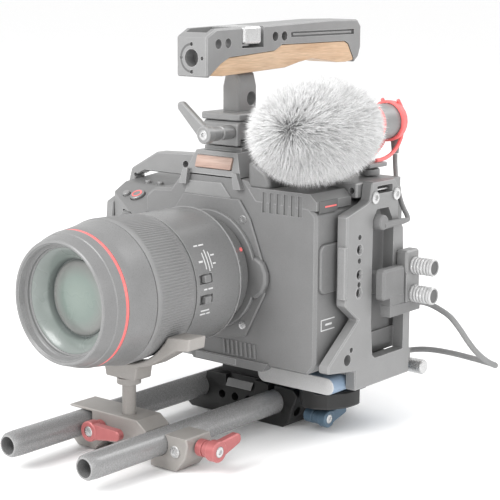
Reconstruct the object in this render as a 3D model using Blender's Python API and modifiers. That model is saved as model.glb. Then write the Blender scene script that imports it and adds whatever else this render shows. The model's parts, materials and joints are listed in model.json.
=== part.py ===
"""Cinema camera rig: camera in a cage, macro lens, twin rods, lens support, top handle,
microphone, portable drive and their clamps. Metres, +Z up, lens towards -Y.
Origin: middle of the rod baseplate's underside."""
import math

import bmesh
import bpy
from mathutils import Matrix, Vector

MM = 0.001
GAP = 0.3                      # clearance between touching pieces, mm

# Driving dimensions, all in millimetres
ROD_RADIUS = 7.5
ROD_X = 30.0                   # half the 60 mm rod spacing
ROD_Z = 15.0
ROD_FRONT, ROD_REAR = -196.0, 32.6
LENS_Z = 98.5                  # height of the optical axis
LENS_FRONT, LENS_MOUNT = -184.0, -60.8
FOCUS_FRONT, FOCUS_REAR = -149.2, -116.0
SUPPORT_FRONT, SUPPORT_REAR = -138.0, -117.5
SUPPORT_BOTTOM, SUPPORT_TOP = 0.5, 24.5
POST_Y = -129.5
SWITCH_Y = -107.5
PLATE_FRONT = -57.5            # lens mount plate
BODY_FRONT, BODY_REAR = -55.5, 34.0
BODY_LEFT, BODY_RIGHT = -55.0, 77.5
BODY_BOTTOM, BODY_TOP = 43.6, 143.0
CAGE_RIGHT_IN, CAGE_RIGHT_OUT = 80.5, 88.0
HANDLE_HALF = 11.6
HANDLE_FRONT, HANDLE_REAR = -74.7, 80.0
HANDLE_BOTTOM, HANDLE_TOP = 214.4, 245.0
MIC_X, MIC_Z = 63.0, 185.0
MIC_RADIUS = 10.8
MIC_PORT = (-8.8, 130.4)       # y and z of the microphone socket
DRIVE_PORT_X = 60.0
DIAL_AXIS = (-47.7, 119.5)     # y and z of the grip's control dial
THUMB_AXIS = (38.3, 33.2)      # y and z of the drive's thumbscrew
SEGMENTS = 24

COLOURS = {
    "graphite": ((0.24, 0.24, 0.24), 0.5, 0.6),
    "camera": ((0.26, 0.26, 0.26), 0.6, 0.0),
    "black": ((0.02, 0.02, 0.02), 0.5, 0.3),
    "warm": ((0.27, 0.26, 0.24), 0.5, 0.4),
    "steel": ((0.6, 0.6, 0.6), 0.3, 1.0),
    "red": ((0.48, 0.14, 0.14), 0.4, 0.5),
    "pink": ((0.9, 0.2, 0.2), 0.5, 0.0),
    "wood": ((0.65, 0.42, 0.26), 0.5, 0.0),
    "glass": ((0.3, 0.36, 0.33), 0.1, 0.0),
    "fur": ((0.6, 0.6, 0.6), 0.9, 0.0),
    "blue": ((0.3, 0.38, 0.5), 0.4, 0.2),
    "slate": ((0.1, 0.16, 0.22), 0.4, 0.5),
    "rubber": ((0.2, 0.2, 0.2), 0.8, 0.0),
}


def clear_scene():
    for thing in list(bpy.data.objects):
        bpy.data.objects.remove(thing, do_unlink=True)


def collection(name):
    made = bpy.data.collections.new(name)
    bpy.context.scene.collection.children.link(made)
    return made


def paint(thing, finish):
    colour, roughness, metallic = COLOURS[finish]
    material = bpy.data.materials.new(thing.name + "_finish")
    material.use_nodes = True
    shader = material.node_tree.nodes["Principled BSDF"]
    shader.inputs["Base Color"].default_value = (*colour, 1.0)
    shader.inputs["Roughness"].default_value = roughness
    shader.inputs["Metallic"].default_value = metallic
    thing.data.materials.clear()
    thing.data.materials.append(material)


def take(name, finish):
    """The object a primitive has just made, named and filed with the rig's parts."""
    thing = bpy.context.object
    thing.name = name
    for holder in list(thing.users_collection):
        holder.objects.unlink(thing)
    rig.objects.link(thing)
    paint(thing, finish)
    return thing


def bevelled(thing, width, segments=1):
    bevel = thing.modifiers.new("edge", "BEVEL")
    bevel.width = width * MM
    bevel.segments = segments
    bevel.limit_method = "ANGLE"
    bevel.angle_limit = math.radians(35)
    return thing


def smooth(thing):
    thing.data.shade_smooth()
    thing.data.set_sharp_from_angle(angle=math.radians(35))
    return thing


def box(name, low, high, finish="graphite", edge=0.0, segments=1):
    """A block between two corners, in mm."""
    size = [(b - a) * MM for a, b in zip(low, high)]
    middle = [(a + b) / 2 * MM for a, b in zip(low, high)]
    bpy.ops.mesh.primitive_cube_add(size=1.0, location=middle)
    thing = take(name, finish)
    thing.data.transform(Matrix.Diagonal((*size, 1.0)))
    return bevelled(thing, edge, segments) if edge else thing


TURN = {
    "X": Matrix.Rotation(math.pi / 2, 4, "Y"),
    "Y": Matrix.Rotation(-math.pi / 2, 4, "X"),
    "Z": Matrix.Identity(4),
}


def drum(name, axis, start, end, radius, across, finish="graphite", sides=SEGMENTS, edge=0.0):
    """A cylinder along an axis from start to end; across gives its other two coordinates."""
    middle = (start + end) / 2
    place = {"X": (middle, *across), "Y": (across[0], middle, across[1]), "Z": (*across, middle)}[axis]
    bpy.ops.mesh.primitive_cylinder_add(
        vertices=sides, radius=radius * MM, depth=(end - start) * MM,
        location=[value * MM for value in place], end_fill_type="NGON",
    )
    thing = take(name, finish)
    thing.data.transform(TURN[axis])
    smooth(thing)
    return bevelled(thing, edge) if edge else thing


def from_curve(curve, name, finish):
    """Turn a curve into a mesh object and weld its caps."""
    guide = bpy.data.objects.new(name + "_curve", curve)
    rig.objects.link(guide)
    bpy.context.view_layer.update()
    graph = bpy.context.evaluated_depsgraph_get()
    mesh = bpy.data.meshes.new_from_object(guide.evaluated_get(graph))
    place = guide.matrix_world.copy()
    bpy.data.objects.remove(guide, do_unlink=True)
    shape = bmesh.new()
    shape.from_mesh(mesh)
    bmesh.ops.remove_doubles(shape, verts=shape.verts, dist=1e-6)
    bmesh.ops.recalc_face_normals(shape, faces=shape.faces)
    shape.to_mesh(mesh)
    shape.free()
    thing = bpy.data.objects.new(name, mesh)
    thing.matrix_world = place
    rig.objects.link(thing)
    paint(thing, finish)
    return thing


# A flat outline's own x and y run along these pairs of axes
FACING = {
    "X": Matrix(((0, 0, 1, 0), (1, 0, 0, 0), (0, 1, 0, 0), (0, 0, 0, 1))),
    "Y": Matrix(((1, 0, 0, 0), (0, 0, -1, 0), (0, 1, 0, 0), (0, 0, 0, 1))),
    "Z": Matrix.Identity(4),
}


def slab(name, axis, start, end, outline, finish="graphite", edge=0.0, segments=1):
    """A flat outline carried along an axis: (y, z) along X, (x, z) along Y, (x, y) along Z."""
    curve = bpy.data.curves.new(name, "CURVE")
    curve.dimensions = "2D"
    curve.fill_mode = "BOTH"
    curve.extrude = (end - start) / 2 * MM
    spline = curve.splines.new("POLY")
    spline.points.add(len(outline) - 1)
    for point, (a, b) in zip(spline.points, outline):
        point.co = (a * MM, b * MM, 0.0, 1.0)
    spline.use_cyclic_u = True
    thing = from_curve(curve, name, finish)
    shift = Vector([(start + end) / 2 * MM if key == axis else 0.0 for key in "XYZ"])
    thing.data.transform(Matrix.Translation(shift) @ FACING[axis])
    return bevelled(thing, edge, segments) if edge else thing


def tube(name, points, radius, finish, sides=2):
    """A round wire through points in mm, its ends capped."""
    curve = bpy.data.curves.new(name, "CURVE")
    curve.dimensions = "3D"
    curve.bevel_depth = radius * MM
    curve.bevel_resolution = sides
    curve.use_fill_caps = True
    spline = curve.splines.new("POLY")
    spline.points.add(len(points) - 1)
    for point, place in zip(spline.points, points):
        point.co = (*[value * MM for value in place], 1.0)
    return smooth(from_curve(curve, name, finish))


def turned(name, profile, finish="graphite", axis="Y", centre=(0.0, 0.0), sides=36):
    """A profile of (along, radius) turned about an axis through centre: a closed loop,
    or an open line when it starts and ends on the axis."""
    mesh = bpy.data.meshes.new(name)
    rows = [(radius * MM, 0.0, along * MM) for along, radius in profile]
    count = len(rows)
    solid_core = profile[0][1] == 0.0 and profile[-1][1] == 0.0
    edges = [(i, (i + 1) % count) for i in range(count - 1 if solid_core else count)]
    mesh.from_pydata(rows, edges, [])
    thing = bpy.data.objects.new(name, mesh)
    rig.objects.link(thing)
    screw = thing.modifiers.new("turn", "SCREW")
    screw.steps = sides
    screw.render_steps = sides
    screw.use_merge_vertices = True
    screw.merge_threshold = 0.00001
    turn = {"Y": Matrix.Rotation(-math.pi / 2, 4, "X"), "X": Matrix.Rotation(math.pi / 2, 4, "Y"),
            "Z": Matrix.Identity(4)}[axis]
    place = {"Y": (centre[0], 0.0, centre[1]), "X": (0.0, *centre), "Z": (*centre, 0.0)}[axis]
    thing.matrix_world = Matrix.Translation([value * MM for value in place]) @ turn
    bpy.context.view_layer.update()
    graph = bpy.context.evaluated_depsgraph_get()
    solid = bpy.data.meshes.new_from_object(thing.evaluated_get(graph))
    thing.modifiers.remove(screw)
    thing.data = solid
    shape = bmesh.new()
    shape.from_mesh(solid)
    bmesh.ops.remove_doubles(shape, verts=shape.verts, dist=1e-6)
    bmesh.ops.recalc_face_normals(shape, faces=shape.faces)
    shape.to_mesh(solid)
    shape.free()
    paint(thing, finish)
    return smooth(thing)


def boolean(thing, tool, operation):
    step = thing.modifiers.new(operation.lower(), "BOOLEAN")
    step.operation = operation
    step.object = tool
    step.solver = "EXACT"
    tool.hide_render = True
    tool.display_type = "WIRE"
    rig.objects.unlink(tool)
    cutters.objects.link(tool)
    return thing


def cut(thing, *tools):
    for tool in tools:
        boolean(thing, tool, "DIFFERENCE")
    return thing


def join(thing, *tools):
    for tool in tools:
        boolean(thing, tool, "UNION")
    return thing


def arc(centre, radius, start, end, steps):
    """Points round part of a circle, angles in degrees."""
    angles = [math.radians(start + (end - start) * i / steps) for i in range(steps + 1)]
    return [(centre[0] + radius * math.cos(a), centre[1] + radius * math.sin(a)) for a in angles]


def mirrored(half):
    """A closed outline from its right half, listed from bottom middle to top middle."""
    return half + [(-x, z) for x, z in reversed(half) if x > 0.001]


def smooth_route(points, spacing):
    """Points a spacing apart on a Catmull-Rom curve through the given ones."""
    knots = [Vector(p) for p in points]
    knots = [knots[0] * 2 - knots[1], *knots, knots[-1] * 2 - knots[-2]]
    line = []
    for i in range(1, len(knots) - 2):
        p0, p1, p2, p3 = knots[i - 1:i + 3]
        for k in range(24):
            t = k / 24
            line.append(0.5 * ((2 * p1) + (p2 - p0) * t + (2 * p0 - 5 * p1 + 4 * p2 - p3) * t * t
                               + (3 * p1 - p0 - 3 * p2 + p3) * t ** 3))
    line.append(knots[-2])
    reach = [0.0]
    for a, b in zip(line, line[1:]):
        reach.append(reach[-1] + (b - a).length)
    count = max(2, round(reach[-1] / spacing))
    route, at = [], 0
    for k in range(count + 1):
        want = reach[-1] * k / count
        while at < len(line) - 2 and reach[at + 1] < want:
            at += 1
        share = (want - reach[at]) / max(1e-9, reach[at + 1] - reach[at])
        route.append(line[at].lerp(line[at + 1], min(1.0, share)))
    return route


# ---------------------------------------------------------------- rods and baseplate

def rods():
    for side, x in (("left", -ROD_X), ("right", ROD_X)):
        outer, bore = ROD_RADIUS, 5.2
        profile = [(ROD_REAR, outer - 1), (ROD_REAR - 1, outer), (ROD_FRONT + 6.5, outer),
                   (ROD_FRONT + 1.6, outer - 0.4), (ROD_FRONT, outer - 1.5),
                   (ROD_FRONT, bore), (ROD_REAR, bore)]
        turned("rod_" + side, profile, "graphite", "Y", (x, ROD_Z), sides=24)


def baseplate():
    """A centre block with an open channel for each rod, and a raised table for the cage."""
    front, rear = -33.0, 32.0
    right = [(37, 0), (41, 3.5), (43.5, 11), (48, 21), (44.5, 25), (35.5, 25.5), (24.4, 25.2), (21.6, 26)]
    left = [(-21.6, 26), (-24.4, 25), (-26, 15), (-35, 13.4), (-41, 11), (-41, 3), (-37, 0)]
    plate = slab("baseplate", "Y", front, rear, right + left, "black", edge=0.8)
    table = slab("baseplate_table", "Y", -27.0, 30.0,
                 [(-16, 25), (16, 25), (16, 30), (13, 31.3), (-13, 31.3), (-16, 30)], "black")
    join(plate, table)
    for x in (-ROD_X, ROD_X):
        cut(plate, drum("rod_channel", "Y", front - 5, rear + 5, ROD_RADIUS + GAP, (x, ROD_Z)))
    cut(plate, box("clamp_slit", (25.5, front - 5, 20), (30.5, rear + 5, 34)))
    lip = slab("front_bevel", "X", -8.0, 15.0, [(-40, 17.7), (-33, 17.7), (-28.4, 25.2), (-28.4, 34),
                                                (-40, 34)])
    cut(plate, lip)
    for x in (-11.4, -0.8, 10.0):
        cut(plate, drum("front_hole", "Y", front - 2, front + 7, 2.7, (x, 12.4), sides=20))
    cut(plate, drum("lever_bore", "X", 30, 60, 3.2, (-26.0, 9.6), sides=20))


def lever(name, axis, base, centre, barrel, arm, finish):
    """A clamping lever: a grooved barrel from base, and a hub with its screw recess and an arm.
    centre holds the other two coordinates; barrel is (length, radius); arm is (reach, angle)."""
    length, radius = barrel
    sign = 1 if length > 0 else -1
    hub = base + length
    ends = [(base + length * share, radius * wide) for share, wide in
            ((0.0, 0.9), (0.05, 1.0), (0.5, 1.0), (0.52, 0.84), (0.62, 0.84), (0.64, 1.0), (1.0, 1.0))]
    tip = hub + sign * radius * 1.15
    ends += [(hub, radius * 1.22), (tip - sign * 0.6, radius * 1.22), (tip, radius * 1.1)]
    bore = 2.2
    inner = [(tip, radius * 0.66), (hub + sign * 1.2, radius * 0.66), (hub + sign * 1.2, bore), (base, bore)]
    piece = turned(name, ends + inner, finish, axis, centre, sides=16)
    reach, angle = arm
    way = Vector((math.cos(math.radians(angle)), math.sin(math.radians(angle))))
    across = Vector((-way.y, way.x))
    corner = [(way * 3 + across * radius * 0.95), (way * reach + across * radius * 0.62),
              (way * (reach + 1.8) + across * radius * 0.25), (way * (reach + 1.8) - across * radius * 0.25),
              (way * reach - across * radius * 0.62), (way * 3 - across * radius * 0.95)]
    low, high = sorted((hub + sign * 0.3, tip - sign * 0.5))
    outline = [(centre[0] + p.x, centre[1] + p.y) for p in corner]
    paddle = slab(name + "_arm", axis, low, high, outline, finish, edge=0.7)
    clear = drum(name + "_eye", axis, low - 8, high + 8, radius * 0.7, centre, sides=16)
    cut(paddle, clear)
    join(piece, paddle)
    return piece


def drive_holder():
    """The shelf bolted to the baseplate's side, the portable drive on it and its thumbscrew."""
    outline = [(50.5, -34), (56, -39.5), (66, -39.5), (73, -36), (79.4, -25), (80.4, -18), (80.4, -12),
               (62, -8), (62, 22), (50.5, 22)]
    shelf = slab("drive_shelf", "Z", 18.2, 28.7, outline, "black", edge=1.2)
    join(shelf, box("shelf_neck", (48.4, -22, 19.4), (52, 21, 23.4)))
    drive = slab("portable_drive", "Y", -40.2, 33.8, rounded_bar(23.0, 80.2, 29.0, 39.5), "blue", edge=0.8)
    cut(drive, box("drive_port", (DRIVE_PORT_X - 4.5, 27, 32.2), (DRIVE_PORT_X + 4.5, 40, 36.2)))
    turned("drive_thumbscrew", [(75.0, 0.0), (75.0, 2.0), (80.9, 2.0), (80.9, 4.4), (92.0, 4.6), (93.0, 4.0),
                                (93.0, 0.0)], "steel", "X", THUMB_AXIS, sides=20)


def rounded_bar(left, right, bottom, top):
    """A flat bar's section with fully rounded ends."""
    radius = (top - bottom) / 2
    middle = (top + bottom) / 2
    return (arc((right - radius, middle), radius, -90, 90, 8)
            + arc((left + radius, middle), radius, 90, 270, 8))


# ---------------------------------------------------------------- lens support

def lens_support():
    front, rear, low, top = SUPPORT_FRONT, SUPPORT_REAR, SUPPORT_BOTTOM, SUPPORT_TOP
    outline = [(-34, low), (-20, low), (-13, 7.5), (18, 7.5), (20.5, 10), (20.5, 19.4), (13.5, top),
               (-39, top), (-41, 23.4), (-39, 22.9), (-22, 22.9), (-22, 12), (-38, 12), (-41, 9),
               (-40.5, 6)]
    base = slab("support_base", "Y", front, rear, outline, "warm", edge=0.5)
    cut(base, drum("support_rod_left", "Y", front - 5, rear + 5, ROD_RADIUS + GAP, (-ROD_X, ROD_Z)),
        drum("support_rod_right", "Y", front - 5, rear + 5, ROD_RADIUS + GAP, (ROD_X, ROD_Z)),
        drum("post_bore", "Z", 8.6, top + 5, 4.0 + GAP, (0, POST_Y), sides=24),
        drum("lever_bore", "Y", front - 5, front + 12, 2.9, (-14.0, 15.0), sides=16))
    jaw = slab("support_jaw", "Y", front, rear,
               [(24, low), (43, low), (50, 9), (52, 17), (51, 20.8), (35, 20.8), (33.4, 16), (33, 7.8),
                (24, 6.9)], "warm", edge=0.5)
    cut(jaw, drum("jaw_rod", "Y", front - 5, rear + 5, ROD_RADIUS + GAP, (ROD_X, ROD_Z)),
        drum("jaw_screw_seat", "Y", front - 2, front + 3, 3.3, (43.2, 12.4), sides=20),
        drum("jaw_lever_bore", "X", 44, 56, 2.6, (-128.0, 14.6), sides=16))
    post = drum("support_post", "Z", 14.0, 46.6, 4.0, (0, POST_Y), "warm", sides=24)
    join(post, drum("post_collar", "Z", 42.6, 46.2, 7.0, (0, POST_Y), sides=24))
    inner = arc((0, LENS_Z), 42.6, -31, -90, 10)
    half = [(11.5, 46.6), (13, 54.6), (24, 58.0), (43, 69.6), (52, 70.6), (53, 77.6),
            *inner]
    cradle = slab("lens_cradle", "Y", -137.0, -123.0, mirrored(half), "warm", edge=0.7)
    cut(cradle, drum("post_socket", "Z", 40, 50.5, 4.0 + GAP, (0, POST_Y), sides=24))
    join(post, drum("post_pin", "Z", 46, 50.2, 4.0, (0, POST_Y), sides=24))


# ---------------------------------------------------------------- lens

def lens():
    axis = (0.0, LENS_Z)
    turned("lens_front_barrel",
           [(FOCUS_FRONT - GAP, 41.2), (-157.5, 39.9), (-167.6, 38.6), (-167.6, 36.6), (-171.4, 36.6),
            (-171.4, 38.3), (-174, 37.6), (-182, 35.2), (LENS_FRONT, 33.8), (LENS_FRONT, 32.8),
            (-181.5, 31.8), (-172, 30.6), (-172, 26.5), (FOCUS_FRONT - GAP, 26.5)], "camera", "Y", axis)
    turned("lens_front_glass", [(-166, 0), (-166, 26.2), (-172.4, 26.2), (-174.4, 18), (-175.6, 9),
                                (-176, 0)], "glass", "Y", axis)
    turned("focus_ring", [(FOCUS_REAR, 39.4), (FOCUS_REAR - 1, 40.2), (FOCUS_FRONT + 1.5, 41.8),
                          (FOCUS_FRONT, 41.2), (FOCUS_FRONT, 31.5), (FOCUS_REAR, 31.5)], "rubber", "Y", axis)
    rear = turned("lens_rear_barrel",
                  [(LENS_MOUNT - 2, 33.5), (-72.8, 36.6), (-76, 39.4), (-90, 40.2), (FOCUS_REAR + GAP, 40.2),
                   (FOCUS_REAR + GAP, 31.2), (FOCUS_FRONT + 2, 31.2), (FOCUS_FRONT + 2, 27),
                   (LENS_MOUNT - 2, 27)], "camera", "Y", axis)
    for name, tilt in (("focus_limit_switch", 9.6), ("focus_mode_switch", -7.3)):
        turn = math.radians(tilt)
        panel = Matrix.Translation((0, 0, LENS_Z * MM)) @ Matrix.Rotation(-turn, 4, "Y")
        slot = box(name + "_slot", (38.2, SWITCH_Y - 5.5, -2.6), (44, SWITCH_Y + 5.5, 2.6))
        knob = box(name, (38.6, SWITCH_Y - 2.6, -2.1), (41.9, SWITCH_Y + 2.6, 2.1), "camera", edge=0.4)
        for piece in (slot, knob):
            piece.data.transform(Matrix.Translation(piece.location))
            piece.matrix_world = panel
        cut(rear, slot)


# ---------------------------------------------------------------- camera

def camera():
    shell = slab("camera_shell", "Y", BODY_FRONT, BODY_REAR,
                 [(BODY_LEFT, 48), (BODY_LEFT + 4, BODY_BOTTOM), (72, BODY_BOTTOM), (BODY_RIGHT, 50),
                  (BODY_RIGHT, 138), (72, BODY_TOP), (34, BODY_TOP + 1), (25, 154.6), (-25, 154.6),
                  (-34, BODY_TOP + 1), (-48, BODY_TOP), (BODY_LEFT, 138)], "camera", edge=1.6)
    cut(shell, box("front_corner", (-70, -70, 30), (-22, -28, 59.5)))
    join(shell, slab("front_shoulder", "Y", BODY_FRONT + 0.2, -21.5,
                     [(30.5, 141), (77.2, 141), (77.2, 146), (72.5, 150.4), (27.6, 150.4), (28.6, 146)]))
    join(shell, slab("front_lip", "Y", PLATE_FRONT + 0.3, -50, [(-14, 40.6), (40, 40.6), (44, 46), (-18, 46)]))
    cut(shell, box("shell_hollow", (BODY_LEFT + 3, -49, 62.5), (BODY_RIGHT - 3, 50, 139)),
        box("shell_hollow_low", (-19, -49, 47), (BODY_RIGHT - 3, 50, 64)),
        box("shell_hollow_corner", (BODY_LEFT + 3, -25, 47), (-18, 50, 64)),
        drum("mount_bore", "Y", -70, -40, 27.5, (0, LENS_Z)),
        box("side_port_bay", (75.6, -16, 60), (80, 26, 136.6)),
        drum("microphone_port", "X", 60, 90, 3.4, MIC_PORT, sides=20),
        box("usb_port", (60, -9.6, 91), (90, -0.4, 95.2)))
    for index in range(6):
        x = 38.0 + index * 5.2
        cut(shell, box("vent", (x, -70, 136.4), (x + 3.2, -53, 148.4)))
    rear = slab("camera_back", "Y", 29.6, 33.2,
                [(BODY_LEFT + 3.4, 47.4), (BODY_RIGHT - 3.4, 47.4), (BODY_RIGHT - 3.4, 138.6),
                 (BODY_LEFT + 3.4, 138.6)], "camera")
    half = [(0, 55.8), (13, 56.4), (27, 60.4), (41.6, 88), (41.6, 103), (30, 132), (22, 142.6), (0, 142.6)]
    plate = slab("mount_plate", "Y", PLATE_FRONT, BODY_FRONT - GAP, mirrored(half), "camera", edge=0.6)
    cut(plate, drum("plate_bore", "Y", -70, -40, 27.5, (0, LENS_Z)))
    board = box("image_sensor", (-26, -36, LENS_Z - 22), (26, -33.6, LENS_Z + 22), "black")
    join(board, box("sensor_window", (-12, -38.4, LENS_Z - 8), (12, -35, LENS_Z + 8)))
    join(rear, box("screen_hinge", (-40, 31, 131.0), (40, 38.4, 137.0), edge=1.5))


def grip():
    """The hand grip: a hollow block that slopes down to the front, with its battery and controls."""
    edge_y, edge_z = -30.0, 139.5          # where the slope meets the top
    outline = [(-62, 58), (-68, 66), (-68, 114), (-63, 122.4), (edge_y, edge_z), (8, 143), (20, 138), (20, 50),
               (-52, 50)]
    body = slab("grip_shell", "X", -97.0, BODY_LEFT - GAP, outline, "camera")
    cut(body, slab("front_corner", "Z", 40, 160, [(-110, -32.5), (-110, -90), (-50, -90), (-50, -66.9)]))
    bevelled(body, 3.6, 2)
    cut(body, box("battery_bay", (-90, -31, 40), (-62, 12, 116)))
    box("battery", (-88, -29, 54), (-64, 10, 111), "black", edge=1.0)
    box("battery_door", (-89.6, -30.6, 50.6), (-62.4, 11.6, 52.8), "camera", edge=0.4)
    front_slope = math.atan2(edge_z - 124.0, edge_y + 60.0)
    top_slope = math.atan2(3.5, 38.0)
    for name, x, y, radius, slope, finish in (("record_button", -74.8, -41.5, 5.0, front_slope, "steel"),
                                              ("stills_button", -84.6, -41.4, 2.4, front_slope, "camera"),
                                              ("iso_button", -79.5, -26.5, 2.0, top_slope, "camera"),
                                              ("shutter_button", -69.0, -26.5, 2.0, top_slope, "camera")):
        normal = Vector((0.0, -math.sin(slope), math.cos(slope)))
        centre = Vector((x, y, edge_z + (y - edge_y) * math.tan(slope)))
        turn = Vector((0, 0, 1)).rotation_difference(normal).to_matrix().to_4x4()
        well = drum(name + "_well", "Z", -2.4, 6.0, radius + GAP, (0, 0), finish, sides=16)
        button = drum(name, "Z", -1.6, 1.9, radius, (0, 0), finish, sides=16, edge=0.5)
        for piece in (well, button):
            piece.data.transform(Matrix.Translation(piece.location))
            piece.matrix_world = Matrix.Translation(centre * MM) @ turn
        cut(body, well)
    cut(body, box("dial_slot", (-80.4, -75, 113.4), (-67.6, -41.4, 125.6)))
    turned("control_dial", [(-68, 0), (-68, 5.2), (-68.6, 5.8), (-79.4, 5.8), (-80, 5.2), (-80, 0)],
           "camera", "X", DIAL_AXIS, sides=24)


def screen():
    box("rear_screen", (-52, 34.4, 56), (52, 41.5, 130), "black", edge=1.2)


def port_door():
    box("port_door", (BODY_RIGHT + GAP, -52.5, 92), (BODY_RIGHT + 2.2, -31.5, 121), "camera", edge=0.8)


# ---------------------------------------------------------------- cage

def cage():
    right = slab("cage_right_side", "X", CAGE_RIGHT_IN, CAGE_RIGHT_OUT,
                 [(-29, 31.4), (29, 31.4), (29, 78), (21, 83), (19, 124), (13, 132), (13, 149), (9, 154.4),
                  (-15, 154.4), (-17, 144), (-21, 142), (-40, 137), (-40, 84), (-27, 74), (-56, 51.5), (-56, 47),
                  (-29, 43.4)], "graphite", edge=0.8)
    cut(right, slab("side_window", "X", 70, 95,
                    [(-12, 50), (-9, 47.8), (21, 47.8), (21, 74), (8, 84), (8, 128), (2, 138), (-10, 138),
                     (-14, 132), (-14, 70)]),
        box("strap_slot", (70, -10, 147), (95, 6, 151.6)),
        drum("foot_hole", "X", 70, 95, 3.4, (-37.5, 52.0), sides=20),
        drum("foot_small_hole", "X", 70, 95, 1.6, (-33.6, 57.4), sides=12))
    for z, radius in ((123.5, 1.7), (116.2, 3.4), (109.6, 1.7), (101.4, 3.4), (95.4, 1.7), (90.4, 3.4)):
        cut(right, drum("post_hole", "X", 70, 95, radius, (-27.0, z), sides=20 if radius > 2 else 12))
    floor = box("cage_bottom", (-58, -28, 31.6), (80.2, 28, 43.2), "graphite", edge=0.8)
    cut(floor, box("floor_window", (-44, -18, 20), (-22, 18, 60)),
        box("drive_clearance", (20, -60, 20), (95, 40, 39.9)))
    join(floor, box("tab_top", (72, 24, 40.2), (80, 42.4, 43.0)), box("tab", (72, 34.2, 29.4), (80, 42.2, 42.8)))
    cut(floor, drum("thumbscrew_bore", "X", 74, 92, 2.3, THUMB_AXIS, sides=16))
    left = slab("cage_left_side", "X", -104.5, -98.0,
                [(-30, 31.6), (26, 31.6), (26, 134), (-23, 134), (-40, 127), (-41, 116), (-34, 100), (-34, 60)],
                "graphite", edge=0.8)
    cut(left, slab("left_window", "X", -110, -90,
                   [(-18, 60), (14, 60), (14, 124), (4, 130), (-12, 126), (-22, 112), (-22, 66)]))
    foot = box("left_foot", (-100, 16.4, 31.6), (-58.4, 25, 42.8))
    join(left, foot)


def hood():
    """The cage's top: a bar behind the hood on each side, the sloping hood and its wooden inlay."""
    top = slab("cage_top", "Y", -20.0, -10.0,
               [(-97.8, 134.3), (-97.4, 142.4), (-89, 146.4), (-40, 146.4), (-30, 155.2), (30, 155.2), (38, 144.8),
                (80.2, 144.8), (80.2, 153.4), (36, 153.4), (26, 160.8), (-46, 160.8), (-78, 159.6),
                (-100.5, 147.3), (-104.5, 134.3)], "graphite", edge=0.7)
    cut(top, drum("bar_hole", "Y", -30, 0, 2.4, (-53.0, 153.4), sides=20),
        drum("shoulder_hole", "Y", -30, 0, 1.4, (-97.0, 143.0), sides=12),
        drum("right_hole", "Y", -30, 0, 2.0, (76.5, 149.0), sides=16))
    deck = box("deck_right", (41, -12, 146.5), (79.6, 27, 152.8), "graphite")
    join(top, deck)
    cut(top, box("deck_window", (46, 0, 140), (52, 22, 160)))
    side = [(-58, 148.6), (-44, 146.6), (-36, 149), (-33.5, 155), (-33.5, 169), (-52, 169)]
    shell = slab("hood", "X", -25.0, 25.0, side, "graphite")
    taper = slab("hood_flare", "Y", -80, 0, [(-60, 140), (-24.6, 140), (-24.6, 148), (-15.6, 170), (-60, 180)])
    other = slab("hood_flare", "Y", -80, 0, [(60, 140), (60, 180), (15.6, 170), (24.6, 148), (24.6, 140)])
    cut(shell, slab("hood_hollow", "X", -30, 30, [(-70, 140), (-30, 140), (-30, 155.2), (-70, 155.2)]))
    cut(shell, taper, other)
    join(shell, box("hood_tie", (-24.8, -36, 155.3), (24.8, -20.3, 160.8)))
    for sign in (-1, 1):
        bar = slab("hood_arm", "Y", -59.0, -55.9, [(sign * 24.4, 148.6), (sign * 18.6, 148.6),
                                                   (sign * 17.2, 158), (sign * 20.6, 158)][::sign])
        low, high = sorted((sign * 17.6, sign * 20.4))
        join(shell, bar, box("hood_arm_root", (low, -57.0, 155.4), (high, -50.0, 157.8)))
    join(shell, slab("nato_rail", "X", -14.5, 14.5,
                     [(-46, 168.5), (-20.4, 168.5), (-20.4, 171.4), (-24, 172), (-24, 174), (-22, 175.6),
                      (-44, 175.6), (-42, 174), (-42, 172), (-46, 171.4)]))
    cut(shell, box("inlay_seat", (-14.2, -64, 158.6), (14.2, -52.4, 166.6)))
    bevelled(shell, 0.5)
    slab("wood_inlay", "X", -13.8, 13.8, [(-56.4, 159.0), (-52.7, 159.0), (-52.7, 166.2), (-54.0, 166.2)],
         "wood", edge=0.5)


# ---------------------------------------------------------------- handle

def nato():
    clamp = slab("nato_clamp", "X", -13.7, 13.7,
                 [(-49, 172.4), (-45.6, 172.4), (-45.6, 176.2), (-20.4, 176.2), (-20.4, 172.4), (-17, 172.4),
                  (-17, 187.2), (-47, 187.2), (-49, 185)], "graphite", edge=0.6)
    cut(clamp, drum("clamp_bore", "Y", -55, -40, 2.7, (8.6, 181.0), sides=16))


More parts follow.
